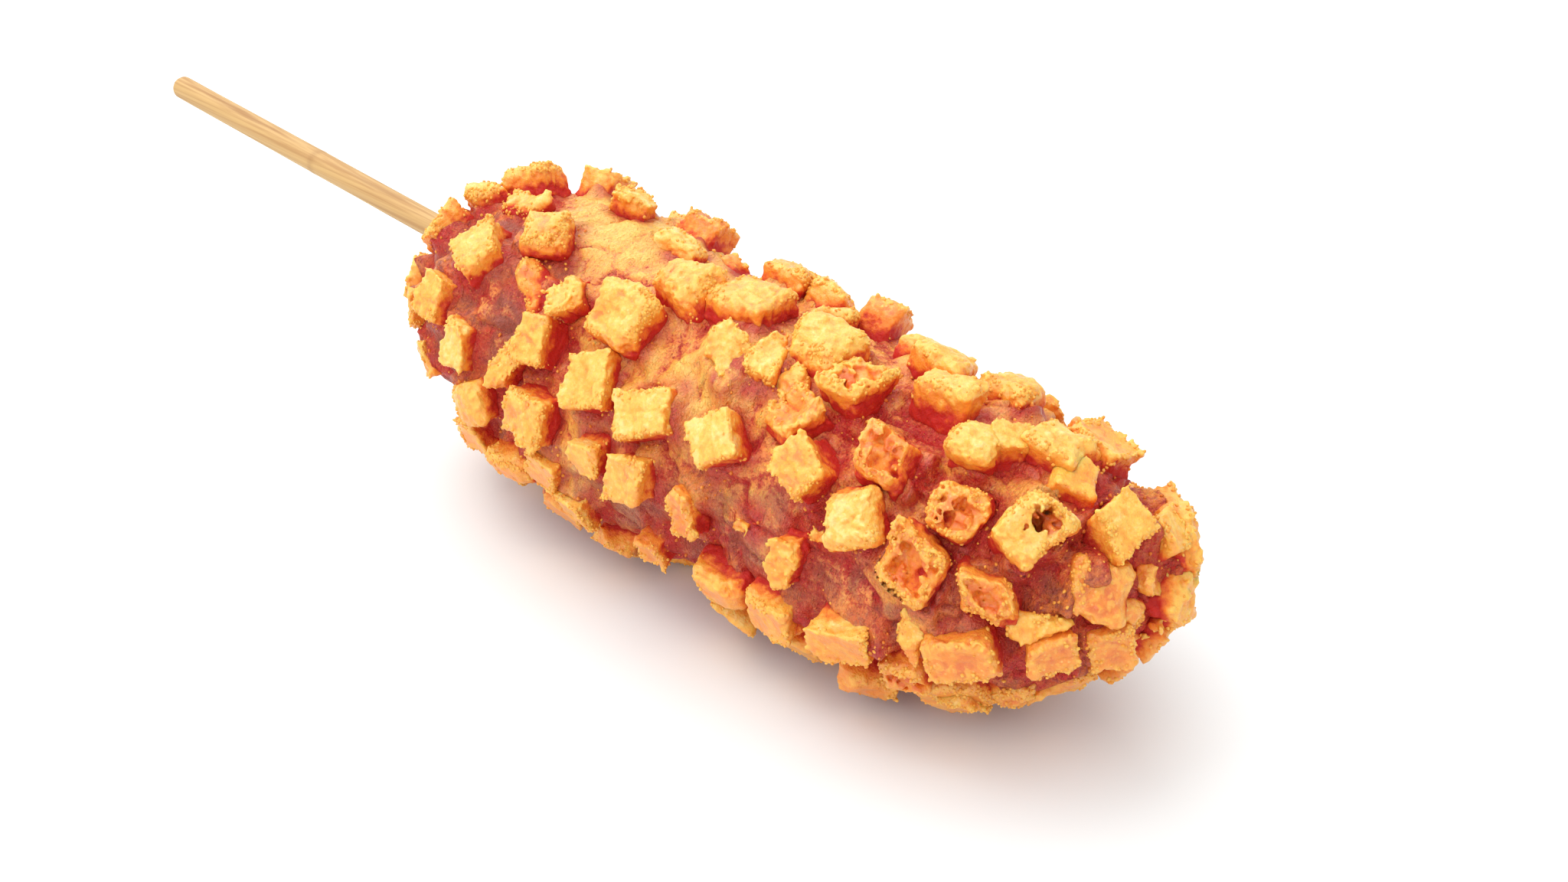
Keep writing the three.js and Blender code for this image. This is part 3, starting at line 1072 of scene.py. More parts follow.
class PotatoMaker:
    """Shapes potato pieces as solids of small cells: a warped block with frayed rims."""

    CELL = 0.24
    MARGIN = 1.5
    DEEP = 2.4
    BLUNT = 0.35
    APART = 19.7
    SKEW, TAPER, TILT = 0.16, 0.14, 0.12
    AMBER_SLACK = 1.3
    AMBER_DISH = 0.5
    RIM = 0.85
    AWAY_FROM_LIGHT = np.array([0.85, -0.15, -0.5])  # the way away from the key light; walls that face it get painted shade

    def __init__(self, food: Food, cell: float = CELL) -> None:
        """Keeps what every piece shares.

        Args:
            food: the food's frame.
            cell: side of the cells, which sets how fine the surface is.
        """
        self.food = food
        self.cell = cell
        self.noise = Noise(11)
        self.pores = Pores(12)

    @staticmethod
    def rounded(sides: np.ndarray, radius: float) -> np.ndarray:
        """Joins distances to several sides into one round an edge of the given radius."""
        inset = sides + radius
        return np.sqrt((np.maximum(inset, 0) ** 2).sum(0)) + np.minimum(inset.max(0), 0) - radius

    def read(self, bit: Bit, p: np.ndarray) -> np.ndarray:
        """Where a piece reads its noise, so that no two are alike."""
        return p + self.APART * bit.seed

    @staticmethod
    def pit(bit: Bit, rng: np.random.Generator, u: np.ndarray, v: np.ndarray, top: np.ndarray) -> np.ndarray:
        """Measures places against the pit in a piece's top.

        Args:
            bit: the piece.
            rng: its random draws.
            u: places along it.
            v: places across it.
            top: how far they are below its top.

        Returns:
            The distances to the pit's wall, less than 0 inside the pit.
        """
        aside, astride, size = bit.PITS.get(bit.seed, (*rng.uniform(-0.08, 0.08, 2), 1.0))
        shift = np.array([aside, astride]) * np.array([bit.length, bit.width]) / 2
        deep = float(smooth(bit.proud, 5.9, 6.8))
        spread = np.array([bit.length, bit.width, bit.proud]) * (FORMS[bit.kind].pit - 0.1 * deep) * size
        spread[2] = bit.proud * (0.24 + 0.36 * deep)
        offset = [(u - shift[0]) / spread[0], (v - shift[1]) / spread[1], top / spread[2]]
        return (sum(np.abs(part) ** 3 for part in offset) ** (1 / 3) - 1) * spread.min()

    def walls(self, bit: Bit, p: np.ndarray) -> dict[str, np.ndarray]:
        """Measures places against a piece's faces.

        Args:
            bit: the piece.
            p: places in its own frame.

        Returns:
            By name: the distance to its plain block, how far each place is below its top, how near
            the rims it is, the distance to its pit, and how far its wall faces away from the light,
            for painted shade.
        """
        form = FORMS[bit.kind]
        rng = np.random.default_rng(bit.seed)
        slack = self.AMBER_SLACK if bit.amber else 1.0
        limits = (self.SKEW, self.TAPER, self.TILT / slack)
        skew, taper, tilt = (slack * rng.uniform(-most, most, 2) for most in limits)
        rounding = form.rounding * rng.uniform(0.8, 1.5) + max(0, -bit.paleness)
        half = np.array([bit.length, bit.width]) / 2
        bend = [self.noise.at(self.read(bit, p) + 31 * k, 7.0) for k in range(3)]
        p = p + form.bend * np.stack(bend, -1)
        level = np.clip((p[..., 2] + self.DEEP) / (bit.proud + self.DEEP), 0, 1)
        u, v = ((p[..., k] + skew[k] * p[..., 1 - k]) * (1 + taper[k] * (level - 0.5)) for k in range(2))
        across, athwart = (np.clip(1 - (part / size) ** 2, 0, 1) for part, size in zip((u, v), half))
        dish = form.dish + self.AMBER_DISH * bit.amber
        w = p[..., 2] - tilt[0] * u - tilt[1] * v + dish * across * athwart
        waist = form.waist * np.clip(1 - ((w - 0.35 * bit.proud) / (0.75 * bit.proud)) ** 2, 0, 1)
        q = np.stack([
            np.abs(u) - half[0] + waist * (0.85 + 0.15 * athwart),
            np.abs(v) - half[1] + waist * (0.85 + 0.15 * across),
            np.abs(w - (bit.proud - self.DEEP) / 2) - (bit.proud + self.DEEP) / 2])
        plan = self.rounded(q[:2], self.BLUNT + 0.5 * rounding)
        block = self.rounded(np.stack([plan, q[2]]), rounding)
        top = bit.proud - w
        rim = fading(np.hypot(np.maximum(q[0], q[1]), top) - 0.4 * rounding, self.RIM)
        post = np.exp(-(q[0] ** 2 + q[1] ** 2) / 0.8**2) * smooth(w, 0.2, 2.0)
        pit = self.pit(bit, rng, u, v, top) if form.pit else np.full(block.shape, 9.0)
        walled = np.stack([np.sign(u) * smooth(q[0] - q[1], -0.8, 0.8),
                           np.sign(v) * smooth(q[1] - q[0], -0.8, 0.8)], -1)
        # painted shade: walls that face away from the light get a share that lowers their rise, so they
        # colour deeper red
        away_from_light = 0.1 + 0.8 * np.clip(walled @ (bit.place[:3, :2].T @ self.AWAY_FROM_LIGHT), 0, 1)
        away_from_light *= smooth(top - 0.4 * rounding, 0.1, 0.9)
        return {"block": block, "top": top, "rim": np.maximum(rim, 0.7 * post), "pit": pit, "away_from_light": away_from_light}

    def skin(self, bit: Bit, p: np.ndarray) -> np.ndarray:
        """Works out the crisp skin's own unevenness: grains, wrinkles and fine noise.

        Args:
            bit: the piece.
            p: places in its own frame.

        Returns:
            Its height at each place, about -1 to 1.
        """
        read = self.read(bit, p)
        size = FORMS[bit.kind].grain_size
        grains = 1 - 2 * np.minimum(self.pores.distance(read, size) / size, 1)
        folds = smooth(1 - np.abs(self.noise.at(read * np.array([0.6, 1.0, 1.0]), 2.3)), 0.68, 1.0)
        return 0.45 * grains - 0.6 * folds + 0.4 * self.noise.at(read + 3, 0.9) + 0.1

    def distance(self, bit: Bit, p: np.ndarray) -> np.ndarray:
        """Measures how far outside a piece places are, all its unevenness included.

        Args:
            bit: the piece.
            p: places in its own frame.

        Returns:
            The distances, less than 0 inside.
        """
        form = FORMS[bit.kind]
        rng = np.random.default_rng(bit.seed + 500)
        found = self.walls(bit, p)
        solid = found["block"]
        close = (np.abs(solid) < 1.9) | (np.abs(found["pit"]) < 1.6)
        p, rim, pit = p[close], found["rim"][close], found["pit"][close]
        read = self.read(bit, p)
        lumps = form.lumps * (self.AMBER_SLACK if bit.amber else 1.0)
        near = solid[close] - lumps * self.noise.at(read, 4.6) - form.grain * self.skin(bit, p)
        knobs = 0.5 - 1.3 * self.pores.distance(read, 1.0)
        fray = 0.5 * self.noise.at(read + 9, 1.3) + 0.4 * self.noise.at(read + 5, 0.6) + knobs
        near -= form.ragged * rim * fray
        for _ in range(form.breaks + bit.amber):
            lean = np.array([rng.choice([-1, 1]) * bit.width, rng.choice([-1, 1]) * bit.length, 0.0])
            lean = lean / np.linalg.norm(lean) + np.array([0, 0, rng.uniform(0.3, 1.0)])
            lean /= np.linalg.norm(lean)
            half = np.copysign(np.array([bit.length, bit.width]) / 2, lean[:2])
            bite = rng.uniform(0.6, 2.2)
            near = np.maximum(near, (p - np.array([*half, bit.proud])) @ lean + bite - 0.45 * fray)
        if form.pit:
            ruffled = pit + 0.8 * self.noise.at(read, 2.0) + 0.75 * self.noise.at(read, 0.9)
            holes = np.where(pit < 0.4, self.pores.distance(read, 1.5) - 0.4, 9.0)
            near = np.maximum(near, -np.minimum(ruffled, holes))
        solid[close] = near
        return solid

    def shell(self, bit: Bit) -> Shell:
        """Builds a piece's surface.

        Args:
            bit: the piece.

        Returns:
            The surface in the food's frame, with its values for the finish.
        """
        reach = np.array([bit.length / 2, bit.width / 2, 0]) + self.MARGIN
        low = np.array([-reach[0], -reach[1], -self.DEEP - 0.6])
        high = np.array([reach[0], reach[1], bit.proud + self.MARGIN])
        axes = [np.arange(low[k], high[k] + self.cell, self.cell) for k in range(3)]
        places = np.stack(np.meshgrid(*axes, indexing="ij"), -1)
        values = self.distance(bit, places).astype(np.float32)
        for k in range(3):
            edge = np.moveaxis(values, k, 0)
            edge[0] = edge[-1] = 1.0
        grid = openvdb.FloatGrid(1.0)
        grid.copyFromArray(values)
        points, faces = grid.convertToQuads(0.0)
        local = points * self.cell + low
        form = FORMS[bit.kind]
        found = self.walls(bit, local)
        wobble = 0.12 * self.noise.at(self.read(bit, local), 2.0)
        tone = form.tone + bit.paleness + 0.3 * (np.random.default_rng(bit.seed + 90).random() - 0.5)
        # cavity grows towards the bottom of the pit, where it is painted dark: charred and painted shade
        cavity = smooth(-found["pit"], -0.8, 0.4) * smooth(found["top"], 0.0, 1.0)
        cavity *= 0.62 + 0.38 * smooth(found["top"], 1.2, 3.0)
        cavity *= 1 - found["rim"] * smooth(-found["top"], -1.3, -0.5)
        # rise is lowered on the walls that face away from the light: painted shade
        shell = Shell(local @ bit.place[:3, :3].T + bit.place[:3, 3], [faces.astype(np.int64)], {
            "rise": np.clip(local[:, 2] / bit.proud + wobble - 0.34 * found["away_from_light"], 0, 1),
            "rim": np.clip(found["rim"], 0, 1),
            "cavity": np.clip(cavity, 0, 1) if form.pit else np.zeros(len(local)),
            "tone": np.full(len(local), np.clip(tone, -0.5, 1)),
            "high": np.clip(0.5 + 0.6 * self.skin(bit, local), 0, 1)})
        return shell.largest_island()


@dataclass
class Potatoes:
    """All the potato pieces: those with a solid of their own, the far side's, and small bits.

    Attributes:
        food: the food's frame and outline.
        nodes: the frame's nodes by name.
        row_first, row_step, rows: the far side's rows, by their angles round the food.
        row_start, row_end, row_spacing: where the pieces of a row lie along the food.
        row_smallest, row_range: their least length, width and height, and how much more they may have.
        row_turn, row_stray: how far they turn, and stray along and round the food.
        row_room: the room they leave to the other pieces.
        end_pieces, end_along: angles and place of those at the free end.
        first_row_seed, first_small_seed: where their numbers start.
        far_cell, small_cell: how fine they are.
        crumb_density: how many crumbs there are on a square metre of rims.
    """

    food: Food
    nodes: dict[str, bpy.types.Object]
    row_first: float = 226.0
    row_step: float = 28.0
    rows: int = 7
    row_start: float = 9.0
    row_end: float = 158.0
    row_spacing: float = 14.5
    row_smallest: Triple = (7.5, 7.0, 3.8)
    row_range: Triple = (2.5, 2.0, 1.2)
    row_turn: float = 70.0
    row_stray: tuple[float, float] = (4.0, 8.0)
    row_room: float = 8.0
    end_pieces: tuple[float, ...] = (0.0, 300.0)
    end_along: float = 160.6
    first_row_seed: int = 100
    first_small_seed: int = 300
    far_cell: float = 0.5
    small_cell: float = 0.32
    crumb_density: float = 7000000.0

    def own(self) -> list[Bit]:
        """Reads the pieces that have a solid of their own in the frame."""
        names = sorted(name for name in self.nodes if name.startswith("potato_"))
        return [Bit.from_node(name, self.nodes[name], self.food) for name in names]

    @staticmethod
    def chance(index: int, use: int) -> float:
        """A number from 0 to 1 that depends only on a piece's place in the rows."""
        value = math.sin(index * 12.9898 + use * 78.233) * 43758.5453
        return value - math.floor(value)

    def far_side(self, own: list[Bit]) -> list[Bit]:
        """Works out the staggered rows of the far side and the underside.

        Args:
            own: the pieces that have a solid of their own, which the rows leave room for.

        Returns:
            The rows' pieces.
        """
        places = []
        for row in range(self.rows):
            along = self.row_start + (row % 2) * self.row_spacing / 2
            while along < self.row_end:
                n = len(places)
                stray = [reach * (self.chance(n, 5 + k) - 0.5) for k, reach in enumerate(self.row_stray)]
                places.append((along + stray[0], self.row_first + self.row_step * row + stray[1]))
                along += self.row_spacing
        places += [(self.end_along, around) for around in self.end_pieces]
        bits = []
        for n, (along, around) in enumerate(places):
            size = tuple(self.row_smallest[k] + self.row_range[k] * self.chance(n, k + 1) for k in range(3))
            kind = list(Kind)[int(self.chance(n, 7) * 4)] if n % 3 else Kind.BLOCK
            turn = self.row_turn * (self.chance(n, 4) - 0.5)
            # painted shade: far-side pieces towards the free end are made more amber
            paleness = 0.9 * self.chance(n, 8) - 0.5 - 0.7 * float(smooth(np.float64(along), 100, 140))
            bit = Bit.at(self.food, kind, along, around, size, turn, self.first_row_seed + n, paleness)
            nearest = min(np.linalg.norm(bit.place[:3, 3] - other.place[:3, 3]) for other in own)
            if nearest > self.row_room:
                bits.append(bit)
        return bits

    def small(self) -> list[Bit]:
        """Lists the small bits between the larger pieces of the shown side.

        Returns:
            The bits.
        """
        block, puffed, chip, rough, crumbly = Kind.BLOCK, Kind.PUFFED, Kind.CHIP, Kind.ROUGH, Kind.CRUMBLY
        amber, gold, cream = -0.6, 0.0, 0.25
        listed = [
            (puffed, 22, 97, (10, 6, 2.2), 10, gold), (block, 14, 170, (8, 7, 4.5), 20, gold),
            (rough, 41, 129, (9, 6, 2.4), -10, amber), (chip, 20, 184, (8, 7, 4), 30, gold),
            (block, 34, 203, (8, 8, 4.5), 10, gold), (block, 50, 147, (7, 9, 5), 15, gold),
            (block, 56, 195, (8, 9, 4.5), -10, gold), (chip, 94, 114, (6, 10, 4.2), 20, gold),
            (chip, 100, 116, (5, 6, 3.2), 60, amber), (puffed, 107, 56, (7, 7, 4.5), 0, gold),
            (chip, 138, 184, (4.5, 9.5, 4.2), 0, gold), (chip, 138, 97, (8, 7, 4.2), 15, gold),
            (puffed, 142, 84, (9, 9, 4.8), 0, cream), (puffed, 147.5, 94, (7.5, 7, 4), 20, gold),
            (chip, 152.5, 174, (9, 4.5, 3), 0, gold), (block, 139, 231, (9.5, 8, 4.2), 0, gold),
            (crumbly, 147, 236, (7, 6, 3.4), 0, amber), (puffed, 153, 250, (8, 7, 3.2), 0, amber),
            (block, 158, 62, (7, 7, 5), 10, gold), (crumbly, 158.5, 30, (8, 7, 6), 0, gold),
            (crumbly, 161.2, 5, (10, 8, 4.2), 30, gold), (crumbly, 161.3, 315, (8, 7, 3.2), 10, amber),
            (crumbly, 160.5, 262, (6, 4, 2.4), 10, gold), (puffed, 160.6, 158, (7, 5.5, 3), 0, amber),
            (chip, 161.3, 100, (6, 5, 2.6), 50, amber), (chip, 119, 158, (5, 4, 2.2), 40, gold),
            (chip, 104, 170, (4, 4, 2.4), 0, gold),
            (puffed, 90, 68, (7, 6, 3.4), 20, gold), (puffed, 63, 62, (6, 6, 3.0), 0, amber),
        ]
        return [Bit.at(self.food, kind, along, around, size, turn, self.first_small_seed + n, paleness)
                for n, (kind, along, around, size, turn, paleness) in enumerate(listed)]

    def build(self) -> list[Bit]:
        """Makes every potato piece.

        Returns:
            All the pieces, for the batter to rise round.
        """
        finish = PotatoFinish("potato_crisp").material()
        own = self.own()
        far, small = self.far_side(own), self.small()
        fine = PotatoMaker(self.food)
        shells = [fine.shell(bit) for bit in own]
        for bit, shell in zip(own, shells):
            dress(shell.make(f"{bit.node}_crisp", self.food), finish, "potato", bit.node)
        made = []
        for bits, cell in ((far, self.far_cell), (small, self.small_cell)):
            maker = PotatoMaker(self.food, cell)
            made += [(bit.kind, maker.shell(bit)) for bit in bits]
        for kind in Kind:
            shells.append(Shell.joined([shell for its_kind, shell in made if its_kind is kind]))
            dress(shells[-1].make(f"potato_more_{kind.value}", self.food), finish, "potato", "batter")
        host = Shell.joined(shells).make("rims", self.food)
        Crumbs(host, "rim_crumbs", "rim", CrumbFinish("crumb_pale").material(), self.crumb_density).build()
        bpy.data.objects.remove(host)
        return own + far + small


# ---------------------------------------------------------------------------- the batter
@dataclass
class Crust:
    """The batter: a bent round form that swells, creases and climbs the potato pieces' walls.

    Attributes:
        food: the food's frame and outline.
        step: distance between its points.
        swell, fold, wrinkle, skin: heights of its unevenness, from the broadest to the finest.
        climb: share of a piece's height that the batter climbs.
        reach: how far from a piece the batter starts to rise.
        lump: height of the long swells round the food.
        nearby: how far round a piece the batter knows of it.
        clearance: how far below a piece's top the batter stays.
        sunk: how much more the see-through pieces are drowned in it.
    """

    food: Food
    step: float = 0.5
    swell: float = 0.7
    fold: float = 0.65
    wrinkle: float = 0.3
    skin: float = 0.2
    climb: float = 0.47
    reach: float = 1.6
    lump: float = 0.55
    nearby: Triple = (5.0, 5.0, 4.0)
    clearance: float = 1.6
    sunk: float = 1.3

    def lattice(self) -> tuple[np.ndarray, np.ndarray, list[np.ndarray]]:
        """Lays out the surface's points evenly along its outline.

        Returns:
            Their places along and around, and the faces between them.
        """
        food = self.food
        dense = (1 - np.cos(np.linspace(0, math.pi, 4000))) / 2 * food.length
        outline = food.point(dense, np.full(4000, math.pi / 2), food.proud)
        travelled = np.concatenate([[0], np.cumsum(np.linalg.norm(np.diff(outline, axis=0), axis=1))])
        rings = int(travelled[-1] / self.step)
        along = np.interp(np.linspace(0, travelled[-1], rings), travelled, dense)[1:-1]
        sides = int(2 * math.pi * (food.girth - food.proud) / self.step)
        around = np.linspace(0, 2 * math.pi, sides, endpoint=False)
        grid_along, grid_around = np.meshgrid(along, around, indexing="ij")
        first = np.arange(sides)
        after = np.roll(first, -1)
        start = (np.arange(len(along) - 1) * sides)[:, None]
        quads = np.stack([start + first, start + after, start + sides + after, start + sides + first], -1)
        count = len(along) * sides
        last = count - sides
        near_end = np.stack([np.full(sides, count), after, first], -1)
        far_end = np.stack([np.full(sides, count + 1), last + first, last + after], -1)
        along_all = np.concatenate([grid_along.ravel(), [0.0, food.length]])
        around_all = np.concatenate([grid_around.ravel(), [0.0, 0.0]])
        return along_all, around_all, [quads.reshape(-1, 4), near_end, far_end]

    def round_bits(self, base: np.ndarray, bits: list[Bit], noise: Noise) -> dict[str, np.ndarray]:
        """Works out what the potato pieces do to the batter round them.

        Args:
            base: places on the plain surface.
            bits: the pieces.
            noise: what makes it patchy.

        Returns:
            By name: how far it rises, the ceiling it stays under, the painted shade at their feet, how far
            it is a pale film on their walls, and how near they are, for a ring of oil soak and painted
            corner shade.
        """
        rise, painted_foot_shade, climb, soak_and_shade_ring = (np.zeros(len(base)) for _ in range(4))
        ceiling = np.full(len(base), np.inf)
        for bit in bits:
            local = (base - bit.place[:3, 3]) @ bit.place[:3, :3]
            half = np.array([bit.length, bit.width]) / 2 - 0.5
            near = (np.abs(local) < np.array([*half, 0]) + self.nearby).all(1)
            q = np.abs(local[near, :2]) - half
            gap = np.sqrt((np.maximum(q, 0) ** 2).sum(1)) + np.minimum(q.max(1), 0)
            patchy = 0.55 + 0.75 * noise.at(base[near] + 5 * bit.seed, 4.2)
            most = (self.sunk if bit.amber else 1.0) * self.climb * bit.proud
            lift = most * np.clip(patchy, -0.15, 1.25) * np.exp(-np.maximum(gap, 0) / self.reach)
            rise[near] = np.where(np.abs(lift) > np.abs(rise[near]), lift, rise[near])
            room = (0.3 if bit.kind is Kind.HOLLOW else 1.0) * (bit.proud - self.clearance) - local[near, 2]
            ceiling[near] = np.minimum(ceiling[near], np.where(gap < 0.3, room, np.inf))
            away = local[near] @ bit.place[:3, :3].T
            away_from_light = away @ PotatoMaker.AWAY_FROM_LIGHT / np.maximum(np.linalg.norm(away, axis=1), 1)
            # painted shade at the pieces' feet, on the sides away from the light and in patches
            shaded = np.clip(0.8 * smooth(-patchy, -0.8, -0.1) + smooth(away_from_light, -0.1, 0.6), 0, 1)
            close = fading(gap, 1.8)
            painted_foot_shade[near] = np.maximum(painted_foot_shade[near], close * shaded)
            climb[near] = np.maximum(climb[near], close * smooth(patchy, 0.4, 1.1) * (1 - shaded))
            # a ring round each piece: oil soak, and painted shade in the corner
            soak_and_shade_ring[near] = np.maximum(soak_and_shade_ring[near], fading(gap, 1.9))
        return {"rise": rise, "ceiling": ceiling, "painted_foot_shade": painted_foot_shade, "climb": climb, "soak_and_shade_ring": soak_and_shade_ring}

    def shell(self, bits: list[Bit]) -> Shell:
        """Builds the batter's surface.

        Args:
            bits: the potato pieces that it rises round.

        Returns:
            The surface, with its values for the finish.
        """
        food, noise = self.food, Noise(21)
        along, around, faces = self.lattice()
        base = food.point(along, around, food.proud)
        caps = food.cap(along, food.stick_cap) * food.cap(food.length - along, food.free_cap)
        waves = np.sin(along / 9 + 2 * around) + np.sin(3 * around - along / 15 + 1)
        broad = self.lump * waves * caps + self.swell * noise.at(base, 13.0)
        warped = base + 2.0 * np.stack([noise.at(base + 40 * k, 8.0) for k in (1, 2, 3)], -1)
        ridges = 1 - np.abs(noise.at(warped * np.array([0.8, 1.0, 1.0]), 6.5))
        creases = smooth(ridges, 0.72, 1.0)
        wrinkles = smooth(1 - np.abs(noise.at(warped * np.array([0.6, 1.2, 1.2]) + 11, 2.6)), 0.66, 1.0)
        fine = noise.layered(base, 2.0, 3)
        found = self.round_bits(base, bits, noise)
        along_stick = np.exp(-np.maximum(np.hypot(base[:, 1], base[:, 2]) - food.stick_radius, 0) / 2.0)
        collar = np.where(base[:, 0] < food.length / 8, 1.2 * along_stick, 0)
        height = broad - self.fold * creases - self.wrinkle * wrinkles + self.skin * fine
        height = np.minimum(height + found["rise"] + collar, found["ceiling"])
        up = np.sin(around) * food.cap(food.length - along, food.free_cap)
        # painted shade near the stick end on its right side and at the free end
        painted_end_shade = 1.8 * smooth(-along, -60, -26) * smooth(-np.cos(around), 0.05, 0.5)
        painted_end_shade += 0.7 * smooth(along, 144, 158)
        # painted light and shade: lighter where the batter faces up, towards the stick end and on swells,
        # darker in its creases and wrinkles and towards the free end
        relief_and_shade = 0.40 + 0.36 * up + 0.24 * smooth(-along, -90, -20) - 0.22 * smooth(along, 85, 130)
        relief_and_shade += 0.2 * broad - 0.55 * creases - 0.3 * wrinkles + 0.16 * fine + 0.12 * found["rise"]
        # painted shade: maroon where the batter faces down and at its ends
        painted_shade = smooth(0.4 * noise.at(base, 9.0) - up + painted_end_shade, -0.75, 0.0) + 0.5 * np.minimum(painted_end_shade, 1)
        depth = food.proud - height
        depth[-2:] = depth[[0, -3]]
        crumbly = found["painted_foot_shade"] + found["climb"] + 0.7 * smooth(along, 148, 160)
        return Shell(food.point(along, around, depth), faces, {
            "relief_and_shade": np.clip(relief_and_shade - 0.48 * painted_end_shade, 0, 1), "painted_shade": painted_shade,
            "crumbly": np.clip(crumbly, 0, 1)} | {name: found[name] for name in ("painted_foot_shade", "climb", "soak_and_shade_ring")})

    def build(self, bits: list[Bit]) -> bpy.types.Object:
        """Makes the batter.

        Args:
            bits: the potato pieces that it rises round.

        Returns:
            The batter.
        """
        crust = self.shell(bits).make("batter_crust", self.food)
        dress(crust, BatterFinish("batter_fried").material(), "batter", "batter")
        return crust


# ---------------------------------------------------------------------------- geometry nodes
class NodeTree:
    """A Geometry Nodes tree while it is built."""

    def __init__(self, name: str, inputs: dict[str, str]) -> None:
        """Starts a tree.

        Args:
            name: the tree's name.
            inputs: its inputs' kinds by name, besides the geometry.
        """
        self.tree = bpy.data.node_groups.new(name, "GeometryNodeTree")
        face = self.tree.interface
        for socket, kind in {"Geometry": "Geometry", **inputs}.items():
            face.new_socket(socket, in_out="INPUT", socket_type=f"NodeSocket{kind}")
        face.new_socket("Geometry", in_out="OUTPUT", socket_type="NodeSocketGeometry")
        self.start = self.tree.nodes.new("NodeGroupInput").outputs
        self.end = self.tree.nodes.new("NodeGroupOutput").inputs[0]

    def node(self, kind: str, inputs: dict[str | int, object], **settings: object) -> bpy.types.Node:
        """Adds a node.

        Args:
            kind: the node's type.
            inputs: links and plain values by socket name or number.
            settings: the node's own settings.

        Returns:
            The node.
        """
        made = self.tree.nodes.new(kind)
        for name, value in settings.items():
            setattr(made, name, value)
        for name, value in inputs.items():
            if isinstance(value, bpy.types.NodeSocket):
                self.tree.links.new(value, made.inputs[name])
            else:
                made.inputs[name].default_value = value
        return made

    def out(self, kind: str, inputs: dict[str | int, object], **settings: object) -> bpy.types.NodeSocket:
        """Adds a node, for its first output."""
        return self.node(kind, inputs, **settings).outputs[0]

    def math(self, operation: str, *values: object) -> bpy.types.NodeSocket:
        """Works out one value from others."""
        return self.out("ShaderNodeMath", dict(enumerate(values)), operation=operation)

    def finish(self, geometry: bpy.types.NodeSocket) -> None:
        """Ends the tree in real meshes with their material.

        Args:
            geometry: what the tree has made.
        """
        real = self.out("GeometryNodeRealizeInstances", {"Geometry": geometry})
        dressed = self.out("GeometryNodeSetMaterial", {"Geometry": real, "Material": self.start["Material"]})
        self.tree.links.new(dressed, self.end)

    def result(self, host: bpy.types.Object, name: str, values: dict[str, object]) -> bpy.types.Object:
        """Runs the tree on a mesh.

        Args:
            host: the object whose mesh it reads.
            name: the new object's name.
            values: its inputs' values by name.

        Returns:
            A new object with the plain mesh that comes out.
        """
        modifier = host.modifiers.new(name, "NODES")
        modifier.node_group = self.tree
        items = self.tree.interface.items_tree
        by_name = {item.name: item.identifier for item in items if item.in_out == "INPUT"}
        for socket, value in values.items():
            modifier[by_name[socket]] = value
        evaluated = host.evaluated_get(bpy.context.evaluated_depsgraph_get())
        mesh = bpy.data.meshes.new_from_object(evaluated)
        mesh.name = name
        host.modifiers.remove(modifier)
        return link(name, mesh)


